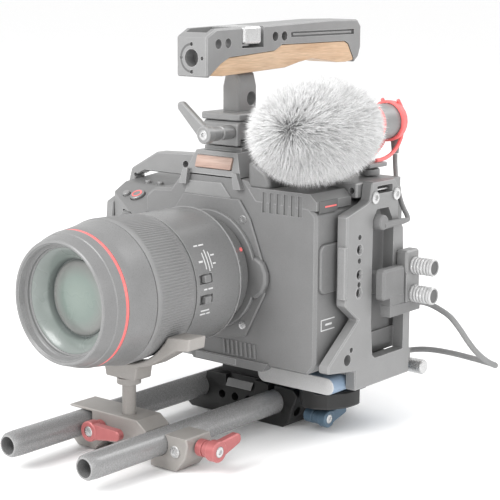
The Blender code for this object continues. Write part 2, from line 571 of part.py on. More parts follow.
def handle():
    post = slab("handle_post", "Y", -39.0, -22.0,
                [(-6.8, 191), (6.8, 191), (6.8, 207), (4.6, 215.2), (-4.6, 215.2), (-6.8, 207)],
                "graphite", edge=1.2)
    join(post, box("post_flange", (-15, -49, 187.5), (15, -13, 191.8), "graphite", edge=0.8))
    cut(post, drum("post_hole", "X", -20, 20, 4.2, (-27.6, 199.5), sides=24))
    half = HANDLE_HALF
    side = [(HANDLE_FRONT, HANDLE_BOTTOM), (60, HANDLE_BOTTOM), (73.5, 217.6), (78, 221), (HANDLE_REAR, 226),
            (HANDLE_REAR, 240.5), (76, HANDLE_TOP - 0.4), (45, HANDLE_TOP), (-24, 242.9), (-66, 242.0), (HANDLE_FRONT, 237.6)]
    frame = slab("handle_frame", "X", -half, half, side, "graphite", edge=2.8)
    space = slab("wood_space", "X", -20, 20, [(-72, 200)] + grip_line() + [(76.5, 200)])
    cut(space, box("handle_keel", (-5, -60, 222.4), (5, 60, 240)))
    cut(frame, drum("front_socket", "Y", -80, -66, 5.2, (0, 225.4), sides=24),
        box("top_pocket", (-8.5, -70, 235.6), (7.5, -46, 250)),
        box("side_slot", (half - 2.4, 5, 235.2), (20, 72, 238.6)),
        box("lock_seat", (-9.4, -42.4, 230.2), (20, -22.0, 250)))
    for x, z in ((8.0, 225.4), (-8.0, 225.4), (0, 233.4), (0, 217.4)):
        cut(frame, drum("front_pin_hole", "Y", -80, -73, 1.2, (x, z), sides=12))
    for y, z in ((-64.0, 233.4), (-55.2, 233.6), (-10.6, 236.2), (-1.6, 236.2)):
        cut(frame, drum("side_hole", "X", 4, 20, 2.9, (y, z), sides=16))
    cut(frame, space)
    wood = slab("handle_grip", "X", -half + 0.4, half - 0.4, wood_outline(), "wood", edge=2.2, segments=2)
    cut(wood, box("keel_slot", (-5 - GAP, -62, 222.4 - GAP), (5 + GAP, 62, 245)))
    lock = box("handle_lock", (-9.0, -42.0, 232.4), (12.8, -25.2, 243.0), "steel", edge=1.2)
    join(lock, box("lock_tongue", (-5.0, -40.0, 230.6), (5.0, -28.0, 233.0)))
    box("hex_key", (-7.6, -69.6, 236.0), (-4.4, -46.6, 239.2), "steel", edge=0.6)


def grip_line():
    """The upper edge of the wooden grip, front to rear, as (y, z)."""
    return [(-71.8, 215.6), (-62, 222), (-54, 225.4), (-11, 227.8), (-7, 229.6), (-4, 231.2), (62, 231.2),
            (66, 229.4), (72, 219.8)]


def wood_outline():
    upper = [(y, z - GAP) for y, z in grip_line()]
    upper[0] = (upper[0][0] + 1.0, upper[0][1])
    lower = [(71.4, 218.4), (64, 217.6), (54, 217.8), (42, 219.6), (28, 221.4), (14, 219.6), (0, 216.9),
             (-14, 216.3), (-30, 215.6), (-60, 214.6)]
    return upper + lower


# ---------------------------------------------------------------- microphone

def microphone():
    x, z = MIC_X, MIC_Z
    outer = []
    steps = 14
    for i in range(steps + 1):
        along = 24.0 - 112.0 * i / steps
        share = abs((along + 38.0) / (62.5 if along > -38 else 50.0))
        outer.append((along, 31.0 * max(0.0, 1 - share ** 2.3) ** 0.5))
    outer[-1] = (-88.0, 0.0)
    outer[0] = (24.0, 12.6)
    bore = [(-60.0, 0.0), (-60.0, 11.2), (24.0, 11.2)]
    turned("fur_windshield", bore + outer, "fur", "Y", (x, z), sides=24)
    turned("microphone", [(41.0, 0.0), (41.0, 9.6), (39.6, MIC_RADIUS), (-56.0, MIC_RADIUS), (-57.0, 9.8),
                          (-57.0, 0.0)], "camera", "Y", (x, z), sides=24)
    lyre = turned("mic_lyre", [(40.0, 12.4), (35.4, 12.8), (34.8, 12.0), (34.8, 11.1), (40.0, 11.1)],
                  "pink", "Y", (x, z), sides=24)
    box("mic_mount_foot", (x - 7, 8, 158.4), (x + 7, 27, 161.2), "rubber", edge=0.6)
    for name, dx in (("lyre_left", -5.8), ("lyre_right", 5.8)):
        path = smooth_route([(x + dx, 38.6, z + 12.9), (x + dx, 43.0, z + 7), (x + dx, 45.2, z - 3),
                             (x + dx, 41.6, z - 13), (x + dx, 33.0, z - 19.5), (x + dx, 24.0, z - 22.0),
                             (x + dx, 16.0, z - 22.2)], 5.0)
        join(lyre, tube(name, path, 1.25, "pink", 1))
    turned("shoe_knob", [(158.0, 4.5), (157.2, 6.4), (154.4, 6.6), (153.5, 6.2), (153.5, 2.4), (158.0, 2.4)],
           "graphite", "Z", (x, 17.5), sides=28)


# ---------------------------------------------------------------- cables

MIC_CABLE = [(63.0, 45.6, 163.6), (63.4, 45.2, 158.6), (65.4, 43.0, 152.8), (69.2, 38.4, 148.4),
             (74.0, 33.2, 145.2), (78.4, 27.8, 141.8), (82.6, 23.6, 138.2), (86.6, 20.8, 134.4),
             (89.6, 19.6, 131.2), (91.2, 18.2, 128.9), (91.0, 14.8, 128.4)]

DRIVE_CABLE = [(92.5, 30.0, 75.8), (93.2, 34.0, 75.4), (97.2, 37.4, 73.8), (103.6, 39.0, 71.0), (110.0, 39.8, 67.4),
               (116.4, 40.4, 61.0), (121.6, 42.0, 53.6), (126.8, 44.4, 46.8), (131.2, 49.4, 41.2),
               (132.4, 56.4, 37.6), (128.6, 62.4, 36.0), (120.6, 65.4, 35.8), (110.0, 65.6, 36.6),
               (97.0, 64.6, 37.6), (84.0, 62.6, 38.0), (73.6, 59.4, 37.2), (65.6, 53.6, 35.6),
               (61.2, 47.2, 34.4), (60.0, 41.0, 34.2)]


def cables():
    tube("mic_cable", smooth_route(MIC_CABLE, 4.0), 1.5, "rubber", 2)
    tube("drive_cable", smooth_route(DRIVE_CABLE, 6.0), 1.8, "rubber", 2)
    turned("mic_strain_relief", [(MIC_Z + 5.4, 0.0), (MIC_Z + 5.4, 3.6), (MIC_Z + 4.0, 4.2), (MIC_Z - 4, 4.0),
                                 (164.2, 2.2), (164.0, 1.9), (164.0, 0.0)], "rubber", "Z", (63.0, 45.6), sides=16)
    plug = turned("mic_plug", [(73.0, 0.0), (73.0, 3.0), (78.4, 3.0), (78.4, 4.5), (92.0, 4.5), (92.8, 3.9),
                               (92.8, 0.0)], "rubber", "X", MIC_PORT, sides=20)
    neck = turned("mic_plug_neck", [(-8.0, 0.0), (-8.0, 2.6), (-3.0, 2.3), (14.5, 1.8), (14.5, 0.0)],
                  "rubber", "Y", (90.8, 128.4), sides=16)
    join(plug, neck)
    body = box("usb_plug", (88.7, -12.5, 84.0), (95.8, 10.1, 102.4), "rubber", edge=1.4)
    tail = turned("usb_tail", [(0.0, 0.0), (0.0, 2.1), (-5.5, 2.8), (-5.5, 0.0)], "rubber", "Z", sides=16)
    way = Vector((0.16, 0.98, -0.1))
    tail.matrix_world = (Matrix.Translation(Vector((92.4, 29.5, 75.85)) * MM)
                         @ Vector((0, 0, 1)).rotation_difference(way).to_matrix().to_4x4())
    join(body, box("usb_neck", (79.4, -10, 87.0), (89.6, 0, 99.4)),
         box("usb_tongue", (75.0, -9, 91.6), (80, -1, 94.6)),
         box("usb_link", (88.9, -5, 78.6), (95.4, 9.9, 85.0)),
         box("usb_heel", (88.7, -5.4, 73.0), (95.8, 27.0, 79.6)), tail)
    drive_end = box("drive_plug", (DRIVE_PORT_X - 4.4, 34.2, 31.4), (DRIVE_PORT_X + 4.4, 40.6, 37.0), "rubber",
                    edge=1.0)
    join(drive_end, box("drive_tongue", (DRIVE_PORT_X - 3.4, 28.2, 33.0), (DRIVE_PORT_X + 3.4, 35.0, 35.4)))


def cable_clamp():
    """The block on the rear post that holds the plug's cable, and its two thumbscrews."""
    body = box("cable_clamp", (CAGE_RIGHT_OUT + GAP, 10.5, 96.5), (96.4, 24.5, 111.0), "graphite", edge=1.2)
    join(body, box("clamp_lower", (CAGE_RIGHT_OUT + GAP, 10.5, 80.0), (96.4, 24.5, 98.0)))
    for name, z in (("clamp_thumbscrew_upper", 101.4), ("clamp_thumbscrew_lower", 84.2)):
        cut(body, drum("thumb_bore", "X", 85, 100, 2.6, (18.6, z), sides=16))
        turned(name, [(CAGE_RIGHT_OUT + 1.0, 0.0), (CAGE_RIGHT_OUT + 1.0, 2.2), (96.8, 2.2), (96.8, 5.0),
                      (98.0, 5.4), (110.0, 5.4), (111.0, 4.8), (111.0, 0.0)], "steel", "X", (18.6, z), sides=28)


clear_scene()
rig = collection("cinema_camera_rig")
cutters = collection("cutters")
rods()
baseplate()
lever("baseplate_lever", "X", 50.6, (-26.0, 9.6), (12.0, 4.4), (17.0, 8.0), "slate")
drive_holder()
lens_support()
lever("support_lever_left", "Y", SUPPORT_FRONT - 0.5, (-14.0, 15.0), (-5.0, 5.0), (22.0, 4.0), "red")
lever("support_lever_right", "X", 52.4, (-128.0, 14.6), (9.0, 5.0), (18.0, 12.0), "red")
lens()
camera()
grip()
screen()
port_door()
cage()
hood()
nato()
lever("nato_lever", "Y", -49.4, (8.6, 181.0), (-20.0, 4.3), (25.0, 139.0), "graphite")
handle()
microphone()
cables()
cable_clamp()
bpy.context.view_layer.update()
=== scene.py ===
import json
import math
import bpy
import bmesh
import numpy as np
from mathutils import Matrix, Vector


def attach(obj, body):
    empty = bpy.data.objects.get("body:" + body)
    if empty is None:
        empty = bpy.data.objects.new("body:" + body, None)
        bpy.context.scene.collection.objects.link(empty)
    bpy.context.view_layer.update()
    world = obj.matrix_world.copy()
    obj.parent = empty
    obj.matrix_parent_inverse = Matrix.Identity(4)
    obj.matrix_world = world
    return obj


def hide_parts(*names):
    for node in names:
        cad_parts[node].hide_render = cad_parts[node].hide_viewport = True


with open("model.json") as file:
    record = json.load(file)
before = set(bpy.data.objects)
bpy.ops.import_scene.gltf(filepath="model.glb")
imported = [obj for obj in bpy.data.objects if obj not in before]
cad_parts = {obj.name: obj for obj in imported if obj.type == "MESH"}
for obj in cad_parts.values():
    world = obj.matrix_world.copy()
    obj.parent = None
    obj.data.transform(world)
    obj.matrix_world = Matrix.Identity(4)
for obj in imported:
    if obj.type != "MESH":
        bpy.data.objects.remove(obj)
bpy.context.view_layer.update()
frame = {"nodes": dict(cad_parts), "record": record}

mm = 0.001
lensAxis = (0, 0, 98.5)
draw = np.random.default_rng(7)
record = frame["record"]
slotOf = {part["node"]: part["material_slot"] for part in record["subparts"]}
bodyOf = {node: body for body, nodes in record["behaviour"]["bodies"].items() for node in nodes}
axes = {"X": (1, 0, 0), "Y": (0, 1, 0), "Z": (0, 0, 1)}


def grey(level, warm=0.0):
    # a display grey from 0 to 255 as a linear colour, warm pushes it towards yellow
    linear = (level / 255) ** 2.2
    return (linear * (1 + warm), linear, linear * (1 - warm))


def tint(red, green, blue):
    return tuple((value / 255) ** 2.2 for value in (red, green, blue))


# where the viewer stands, in millimetres, its angles in degrees, and its lens
view = {"place": (573.74, -728.75, 276.12), "azimuth": 38.98, "elevation": 10.67, "roll": 0.32,
        "lens": 107.29}


def setCamera(choice):
    a, e, r = (math.radians(choice[key]) for key in ("azimuth", "elevation", "roll"))
    back = Vector((math.sin(a) * math.cos(e), -math.cos(a) * math.cos(e), math.sin(e)))
    level = Vector((math.cos(a), math.sin(a), 0))
    rise = back.cross(level)
    right = level * math.cos(r) + rise * math.sin(r)
    up = rise * math.cos(r) - level * math.sin(r)
    data = bpy.data.cameras.new("viewer")
    data.lens = choice["lens"]
    data.sensor_width = 36
    data.clip_start = 0.01
    camera = bpy.data.objects.new("viewer", data)
    bpy.context.scene.collection.objects.link(camera)
    for row in range(3):
        camera.matrix_world[row][0] = right[row]
        camera.matrix_world[row][1] = up[row]
        camera.matrix_world[row][2] = back[row]
        camera.matrix_world[row][3] = choice["place"][row] * mm
    bpy.context.scene.camera = camera


setCamera(view)
print("camera set")


def addNode(tree, kind, **values):
    # a shader node with its settings and its plain inputs, an input's name written with _ for a space
    made = tree.nodes.new("ShaderNode" + kind)
    for key, value in values.items():
        if hasattr(made, key):
            setattr(made, key, value)
        else:
            made.inputs[key.replace("_", " ")].default_value = value
    return made


def mixColours(tree, factor, first, second, blend="MIX"):
    mixed = tree.nodes.new("ShaderNodeMix")
    mixed.data_type = "RGBA"
    mixed.blend_type = blend
    for socket, value in ((mixed.inputs[0], factor), (mixed.inputs[6], first), (mixed.inputs[7], second)):
        if isinstance(value, bpy.types.NodeSocket):
            tree.links.new(value, socket)
        elif isinstance(value, (int, float)):
            socket.default_value = value
        else:
            socket.default_value = (*value, 1)
    return mixed.outputs[2]


def stretchedNoise(tree, place, scale, detail=3.0, stretch=(1, 1, 1), rough=0.55):
    mapping = addNode(tree, "Mapping")
    mapping.inputs["Scale"].default_value = stretch
    tree.links.new(place, mapping.inputs[0])
    noise = addNode(tree, "TexNoise", Scale=scale, Detail=detail, Roughness=rough)
    tree.links.new(mapping.outputs[0], noise.inputs["Vector"])
    return noise.outputs["Fac"]


def spread(tree, value, low, high, start=0.3, end=0.7):
    ranged = addNode(tree, "MapRange", From_Min=start, From_Max=end, To_Min=low, To_Max=high)
    tree.links.new(value, ranged.inputs["Value"])
    return ranged.outputs["Result"]


def startMaterial(name):
    # a new material with its tree, its surface shader and the place on the object
    material = bpy.data.materials.new(name)
    material.use_nodes = True
    tree = material.node_tree
    return material, tree, tree.nodes["Principled BSDF"], addNode(tree, "TexCoord").outputs["Object"]


def addBump(tree, shader, height, strength, depth):
    bump = addNode(tree, "Bump", Strength=strength, Distance=depth)
    tree.links.new(height, bump.inputs["Height"])
    tree.links.new(bump.outputs[0], shader.inputs["Normal"])


# what a finish has unless its own look says otherwise; noise scales are per metre, depths in metres
plainLook = {"speck": 0.08, "grain": 2500, "wearAndHighlight": 0.6, "metal": 0.0, "gloss": 0.5, "coat": 0.0,
             "bump": 0.25, "depth": 0.00012}
# the edge settings here make the lighter edge colour, real wear and a painted highlight on the bevels
# together
wearAndEdgeLight = {"patch": 60, "coatRough": 0.1, "rounding": 0.0006, "turned": (0.9, 0.995), "blotch": 180,
        "least": 0.6}


def paintEdgeWearAndHighlight(tree, place, colour, look):
    # the lighter edge colour, real wear and a painted highlight on the bevels together, takes a share that
    # is how far the surface turns from its rounded normal, times a blotchy noise
    rounded = addNode(tree, "Bevel", samples=4, Radius=wearAndEdgeLight["rounding"])
    facing = addNode(tree, "VectorMath", operation="DOT_PRODUCT")
    tree.links.new(rounded.outputs[0], facing.inputs[0])
    tree.links.new(addNode(tree, "NewGeometry").outputs["Normal"], facing.inputs[1])
    wornAndLitEdge = spread(tree, facing.outputs["Value"], look["wearAndHighlight"], 0, *wearAndEdgeLight["turned"])
    worn = spread(tree, stretchedNoise(tree, place, wearAndEdgeLight["blotch"], 3), wearAndEdgeLight["least"], 1, 0.35, 0.6)
    both = addNode(tree, "Math", operation="MULTIPLY")
    tree.links.new(wornAndLitEdge, both.inputs[0])
    tree.links.new(worn, both.inputs[1])
    return mixColours(tree, both.outputs[0], colour, look["edge"])


def makeFinish(name, facts):
    # colour mottled by a broad noise and a fine grain, roughness and bump by the grain, edges lightened by
    # wear and a painted highlight
    look = {**plainLook, **facts}
    material, tree, shader, place = startMaterial(name)
    broad = stretchedNoise(tree, place, wearAndEdgeLight["patch"], 3)
    grain = stretchedNoise(tree, place, look["grain"], 2)
    colour = mixColours(tree, spread(tree, broad, 0, 1), look["colour"], look["shade"])
    speck = spread(tree, grain, 1 - look["speck"], 1 + look["speck"])
    colour = mixColours(tree, 1.0, colour, speck, "MULTIPLY")
    # the edge colour is partly real wear and partly a painted highlight on the bevels
    if "edge" in look:
        colour = paintEdgeWearAndHighlight(tree, place, colour, look)
    tree.links.new(colour, shader.inputs["Base Color"])
    tree.links.new(spread(tree, grain, *look["rough"]), shader.inputs["Roughness"])
    shader.inputs["Metallic"].default_value = look["metal"]
    shader.inputs["Specular IOR Level"].default_value = look["gloss"]
    shader.inputs["Coat Weight"].default_value = look["coat"]
    shader.inputs["Coat Roughness"].default_value = wearAndEdgeLight["coatRough"]
    addBump(tree, shader, grain, look["bump"], look["depth"])
    return material


# each finish by name: its colour and the shade it is mottled with, the lighter colour of its edges, wear
# and a painted highlight together, its range of roughness, and what differs from a plain look
finishLooks = {
    "bodyGrey": {"colour": grey(133), "shade": grey(127), "edge": grey(204), "rough": (0.34, 0.44),
                 "metal": 0.1, "bump": 0.2, "gloss": 0.6},
    "rodGrey": {"colour": grey(134), "shade": grey(131), "edge": grey(178), "rough": (0.24, 0.3),
                "metal": 0.15, "gloss": 0.7, "bump": 0.1, "speck": 0.02},
    "cameraGrey": {"colour": grey(116), "shade": grey(112), "edge": grey(172), "rough": (0.36, 0.5),
                   "bump": 0.35, "grain": 1800, "depth": 0.0002},
    "lensGrey": {"colour": grey(120), "shade": grey(115), "edge": grey(172), "rough": (0.26, 0.36),
                 "bump": 0.25, "grain": 2200},
    "ribGrey": {"colour": grey(128), "shade": grey(122), "edge": grey(150), "rough": (0.5, 0.65),
                "bump": 0.35, "grain": 3000},
    "warmGrey": {"colour": grey(150, 0.05), "shade": grey(144, 0.06), "edge": grey(196, 0.04),
                 "rough": (0.4, 0.52), "metal": 0.2, "bump": 0.25},
    "blackSatin": {"colour": grey(38), "shade": grey(31), "edge": grey(96), "rough": (0.35, 0.5),
                   "metal": 0.1, "bump": 0.25, "wearAndHighlight": 0.5},
    "steel": {"colour": grey(205), "shade": grey(192), "edge": grey(235), "rough": (0.22, 0.36),
              "metal": 0.85, "bump": 0.15, "grain": 1500},
    "screwSteel": {"colour": grey(186), "shade": grey(174), "edge": grey(228), "rough": (0.3, 0.42),
                   "metal": 0.5, "bump": 0.15, "grain": 1500},
    "steelDark": {"colour": grey(150), "shade": grey(138), "edge": grey(200), "rough": (0.3, 0.42),
                  "metal": 0.7, "bump": 0.15, "grain": 1500},
    "leverRed": {"colour": tint(176, 104, 104), "shade": tint(162, 92, 92), "edge": tint(212, 150, 148),
                 "rough": (0.35, 0.48), "metal": 0.3, "bump": 0.2},
    "leverSlate": {"colour": tint(84, 104, 120), "shade": tint(72, 92, 108), "edge": tint(136, 156, 170),
                   "rough": (0.35, 0.48), "metal": 0.3, "bump": 0.2},
    "softRed": {"colour": tint(244, 122, 120), "shade": tint(236, 106, 106), "rough": (0.45, 0.6),
                "bump": 0.25, "grain": 1600},
    "driveBlue": {"colour": tint(142, 160, 180), "shade": tint(132, 152, 174), "edge": tint(180, 196, 210),
                  "rough": (0.4, 0.55), "bump": 0.3, "grain": 1600},
    "drivePale": {"colour": grey(186), "shade": grey(180), "edge": grey(214), "rough": (0.35, 0.5),
                  "bump": 0.15},
    "rubberGrey": {"colour": grey(124), "shade": grey(117), "edge": grey(152), "rough": (0.6, 0.75),
                   "bump": 0.4, "grain": 1400},
    "cordGrey": {"colour": grey(130), "shade": grey(122), "rough": (0.5, 0.64), "bump": 0.35,
                 "grain": 1200},
    "deepGrey": {"colour": grey(98), "shade": grey(90), "rough": (0.6, 0.8), "bump": 0.3},
    "panelGlass": {"colour": grey(74), "shade": grey(70), "rough": (0.06, 0.12), "coat": 0.6,
                   "bump": 0.03, "speck": 0.02},
    "paleMark": {"colour": grey(214), "shade": grey(204), "rough": (0.5, 0.6), "bump": 0.1},
}
finish = {name: makeFinish(name, look) for name, look in finishLooks.items()}


# the wood's noises: scale, detail, stretch along the grain, roughness
woodNoises = {"figure": (260, 4, 0.08, 0.6), "broad": (60, 3, 0.3, 0.55), "pores": (2200, 2, 0.05, 0.55)}


def makeWood(name, pale, dark, along):
    # growth lines are a noise stretched along the grain and run through a band, with fine pores along it
    material, tree, shader, place = startMaterial(name)
    noises = {}
    for part, (scale, detail, longer, rough) in woodNoises.items():
        stretch = tuple(longer if axis == along else 1.0 for axis in "XYZ")
        noises[part] = stretchedNoise(tree, place, scale, detail, stretch, rough)
    colour = mixColours(tree, spread(tree, noises["figure"], 0, 1, 0.38, 0.66), pale, dark)
    middle = tuple((a + b) / 2 * 0.9 for a, b in zip(pale, dark))
    colour = mixColours(tree, spread(tree, noises["broad"], 0, 0.5, 0.4, 0.7), colour, middle)
    colour = mixColours(tree, 1.0, colour, spread(tree, noises["pores"], 0.82, 1.06), "MULTIPLY")
    tree.links.new(colour, shader.inputs["Base Color"])
    tree.links.new(spread(tree, noises["pores"], 0.62, 0.45), shader.inputs["Roughness"])
    addBump(tree, shader, noises["pores"], 0.3, 0.0001)
    return material


finish["handleWood"] = makeWood("handleWood", tint(212, 182, 152), tint(190, 156, 124), "Y")
finish["insertWood"] = makeWood("insertWood", tint(184, 160, 148), tint(164, 136, 124), "X")


def makeFur(name, tip, root):
    # each hair goes from the root's darker colour, painted shade of the pile, to the tip's by its shade and
    # tone attribute, under a broad mottle
    material, tree, shader, place = startMaterial(name)
    shadeAndTone = addNode(tree, "Attribute", attribute_name="shadeAndTone").outputs["Fac"]
    broad = stretchedNoise(tree, place, 90, 3)
    colour = mixColours(tree, shadeAndTone, root, tip)
    colour = mixColours(tree, 1.0, colour, spread(tree, broad, 0.9, 1.08), "MULTIPLY")
    tree.links.new(colour, shader.inputs["Base Color"])
    tree.links.new(spread(tree, broad, 0.5, 0.7), shader.inputs["Roughness"])
    shader.inputs["Sheen Weight"].default_value = 0.3
    shader.inputs["Specular IOR Level"].default_value = 0.3
    return material


# the roots' grey is painted shade inside the pile; the tips' white is the fur's own colour
finish["fur"] = makeFur("fur", grey(255), grey(150))

# the glass's colours from the lens axis out to the reach, in millimetres; the dark stop near the rim is
# painted shade of the gap at the glass's step
glassLook = {"reach": 30, "coat": 0.3, "coatRough": 0.12, "rough": (0.22, 0.32),
           "stops": [(0.0, tint(116, 128, 121)), (0.4, tint(110, 122, 116)), (0.66, tint(122, 122, 120)),
                     (0.73, tint(90, 96, 94)), (0.78, tint(118, 126, 122)), (1.0, tint(122, 128, 125))]}


def makeGlass(name):
    # a grey-green tint with a darker ring near the rim, painted shade of the gap at the glass's step, by
    # the distance from the lens axis across x and z, under a hazy clear coat
    material, tree, shader, place = startMaterial(name)
    mapping = addNode(tree, "Mapping")
    mapping.inputs["Location"].default_value = (0, 0, -lensAxis[2] * mm)
    tree.links.new(place, mapping.inputs[0])
    flat = addNode(tree, "Mapping")
    flat.inputs["Scale"].default_value = (1, 0, 1)
    tree.links.new(mapping.outputs[0], flat.inputs[0])
    away = addNode(tree, "VectorMath", operation="LENGTH")
    tree.links.new(flat.outputs[0], away.inputs[0])
    ramp = addNode(tree, "ValToRGB")
    distance = spread(tree, away.outputs["Value"], 0, 1, 0, glassLook["reach"] * mm)
    tree.links.new(distance, ramp.inputs[0])
    while len(ramp.color_ramp.elements) < len(glassLook["stops"]):
        ramp.color_ramp.elements.new(0.5)
    for element, (at, shade) in zip(ramp.color_ramp.elements, glassLook["stops"]):
        element.position = at
        element.color = (*shade, 1)
    tree.links.new(ramp.outputs[0], shader.inputs["Base Color"])
    shader.inputs["Coat Weight"].default_value = glassLook["coat"]
    shader.inputs["Coat Roughness"].default_value = glassLook["coatRough"]
    haze = stretchedNoise(tree, place, 40, 2)
    tree.links.new(spread(tree, haze, *glassLook["rough"]), shader.inputs["Roughness"])
    return material


finish["lensGlass"] = makeGlass("lensGlass")
print("finishes made:", len(finish))

# how sharp edges are softened: the least turn in degrees, the steps and the weight of the flat faces
softening = {"turn": 32, "steps": 2, "weight": 80}


def addBevel(piece, width):
    bevel = piece.modifiers.new("softEdges", "BEVEL")
    bevel.width = width * mm
    bevel.segments = softening["steps"]
    bevel.limit_method = "ANGLE"
    bevel.angle_limit = math.radians(softening["turn"])
    bevel.use_clamp_overlap = True
    weighted = piece.modifiers.new("flatFaces", "WEIGHTED_NORMAL")
    weighted.keep_sharp = True
    weighted.weight = softening["weight"]


def showPiece(name, data, body, bevel=0.0):
    # the piece joins the scene, gets softened edges when a bevel is given and rides on its body
    piece = bpy.data.objects.new(name, data)
    bpy.context.scene.collection.objects.link(piece)
    if bevel:
        addBevel(piece, bevel)
    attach(piece, body)
    return piece


def dress(mesh, material, angle):
    # the mesh's finish, with curves shaded smooth and edges over the angle, in degrees, left sharp
    mesh.materials.append(finish[material])
    mesh.shade_smooth()
    mesh.set_sharp_from_angle(angle=math.radians(angle))


def putPiece(name, points, faces, body, slot, material, replaces=(), angle=32, bevel=0.0):
    # points in millimetres, faces as rows of corner numbers
    mesh = bpy.data.meshes.new(name)
    mesh.from_pydata((np.asarray(points, float) * mm).tolist(), [], [list(row) for row in faces])
    shape = bmesh.new()
    shape.from_mesh(mesh)
    bmesh.ops.remove_doubles(shape, verts=shape.verts, dist=2e-6)
    bmesh.ops.dissolve_degenerate(shape, dist=1e-6, edges=shape.edges)
    bmesh.ops.recalc_face_normals(shape, faces=shape.faces)
    shape.to_mesh(mesh)
    shape.free()
    dress(mesh, material, angle)
    piece = showPiece(name, mesh, body, bevel)
    if replaces:
        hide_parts(*replaces)
    return piece


def roundEdges(shape, low, high, radius):
    # the sharp edges that lie wholly within a box, in millimetres, get a rounding of that radius
    low, high = np.array(low) * mm, np.array(high) * mm
    chosen = [edge for edge in shape.edges if len(edge.link_faces) == 2 and edge.calc_face_angle(0) > 0.5
              and all((low <= np.array(corner.co)).all() and (np.array(corner.co) <= high).all()
                      for corner in edge.verts)]
    bmesh.ops.bevel(shape, geom=chosen, offset=radius * mm, segments=5, affect="EDGES", profile=0.5,
                    clamp_overlap=True)


def polish(node, material, bevel, rounds=()):
    # a merged copy of a solid with flat faces joined, its edges softened and its curves shaded smooth
    source = frame["nodes"][node].data
    corners = np.empty(len(source.vertices) * 3)
    source.vertices.foreach_get("co", corners)
    loops = np.empty(len(source.loops), int)
    source.loops.foreach_get("vertex_index", loops)
    merged, where = np.unique(np.round(corners.reshape(-1, 3), 6), axis=0, return_inverse=True)
    triangles = where.reshape(-1)[loops].reshape(-1, 3)
    whole = (triangles[:, 0] != triangles[:, 1]) & (triangles[:, 1] != triangles[:, 2])
    whole &= triangles[:, 2] != triangles[:, 0]
    mesh = bpy.data.meshes.new(node + "_piece")
    mesh.from_pydata(merged.tolist(), [], triangles[whole].tolist())
    shape = bmesh.new()
    shape.from_mesh(mesh)
    bmesh.ops.dissolve_limit(shape, angle_limit=math.radians(0.6), verts=shape.verts, edges=shape.edges)
    bmesh.ops.recalc_face_normals(shape, faces=shape.faces)
    for low, high, radius in rounds:
        roundEdges(shape, low, high, radius)
    shape.to_mesh(mesh)
    shape.free()
    dress(mesh, material, softening["turn"])
    piece = showPiece(node + "_piece", mesh, bodyOf[node], bevel)
    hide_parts(node)
    return piece


def gridFaces(rows, columns, loopRows=False):
    # four-cornered faces of a grid whose columns close on themselves
    row = np.arange(rows if loopRows else rows - 1)[:, None]
    column = np.arange(columns)[None, :]
    below = (row + 1) % rows
    right = (column + 1) % columns
    faces = np.stack([row * columns + column + 0 * right, row * columns + right,
                      below * columns + right, below * columns + column + 0 * right], -1)
    return faces.reshape(-1, 4)


def frameOf(axis):
    # the two directions across an axis
    along = Vector(axes[axis]) if isinstance(axis, str) else Vector(axis).normalized()
    side = Vector((0, 0, 1)) if abs(along.z) < 0.9 else Vector((1, 0, 0))
    first = (side - along * side.dot(along)).normalized()
    return np.array(along), np.array(first), np.array(along.cross(first))


def turned(name, axis, centre, pairs, material, body, slot, sides=64, loop=True, shape=None, **more):
    # a profile of (along, radius) pairs carried round the axis: centre + along*axis + radius*(cos, sin);
    # shape changes the radius from the row number, the distance along and the angle
    along, first, second = frameOf(axis)
    pairs = np.array(pairs, float)
    angle = np.linspace(0, 2 * np.pi, sides, endpoint=False)[None, :]
    reach = np.repeat(pairs[:, :1], sides, 1)
    radius = np.repeat(pairs[:, 1:2], sides, 1)
    if shape is not None:
        radius = shape(np.arange(len(pairs))[:, None], reach, radius, angle)
    points = (np.array(centre, float) + reach[..., None] * along
              + (radius * np.cos(angle))[..., None] * first + (radius * np.sin(angle))[..., None] * second)
    return putPiece(name, points.reshape(-1, 3), gridFaces(len(pairs), sides, loop), body, slot, material,
                    **more)


def capHead(name, axis, place, radius, height, body, socket=0.55):
    # a round screw head with a hexagonal socket: on the socket's rows the radius is its flat over the
    # cosine of the angle from the middle of that flat
    def hexagon(row, along, rim, angle):
        flat = radius * socket * 0.87
        six = flat / np.cos((angle + np.pi / 6) % (np.pi / 3) - np.pi / 6)
        return np.where((row >= 6) & (row <= 7), np.broadcast_to(six, rim.shape), rim)
    pairs = [(0, 0), (0, radius * 0.96), (height * 0.1, radius), (height * 0.75, radius),
             (height, radius * 0.84), (height, radius * 0.7), (height, 1), (height * 0.25, 1),
             (height * 0.25, 0)]
    return turned(name, axis, place, pairs, "steel", body, "plain_steel", sides=48, loop=False,
                  shape=hexagon)


def block(name, low, high, material, body, slot, bevel=0.2, **more):
    # an upright block between two corners
    corners = np.array([[(low, high)[pick >> axis & 1][axis] for axis in range(3)] for pick in range(8)])
    faces = [(0, 2, 3, 1), (4, 5, 7, 6), (0, 1, 5, 4), (2, 6, 7, 3), (0, 4, 6, 2), (1, 3, 7, 5)]
    return putPiece(name, corners, faces, body, slot, material, bevel=bevel, **more)


def plate(name, outline, low, high, material, body, slot, axis="Y", bevel=0.25, **more):
    # a flat outline given across the axis, carried straight from low to high along it
    flat = np.array(outline, float)
    places = {"X": (1, 2), "Y": (0, 2), "Z": (0, 1)}[axis]
    points = np.zeros((2, len(flat), 3))
    points[:, :, places[0]] = flat[:, 0]
    points[:, :, places[1]] = flat[:, 1]
    points[0, :, "XYZ".index(axis)] = low
    points[1, :, "XYZ".index(axis)] = high
    count = len(flat)
    faces = [tuple(range(count))[::-1], tuple(range(count, 2 * count))]
    faces += [(i, (i + 1) % count, count + (i + 1) % count, count + i) for i in range(count)]
    return putPiece(name, points.reshape(-1, 3), faces, body, slot, material, bevel=bevel, **more)


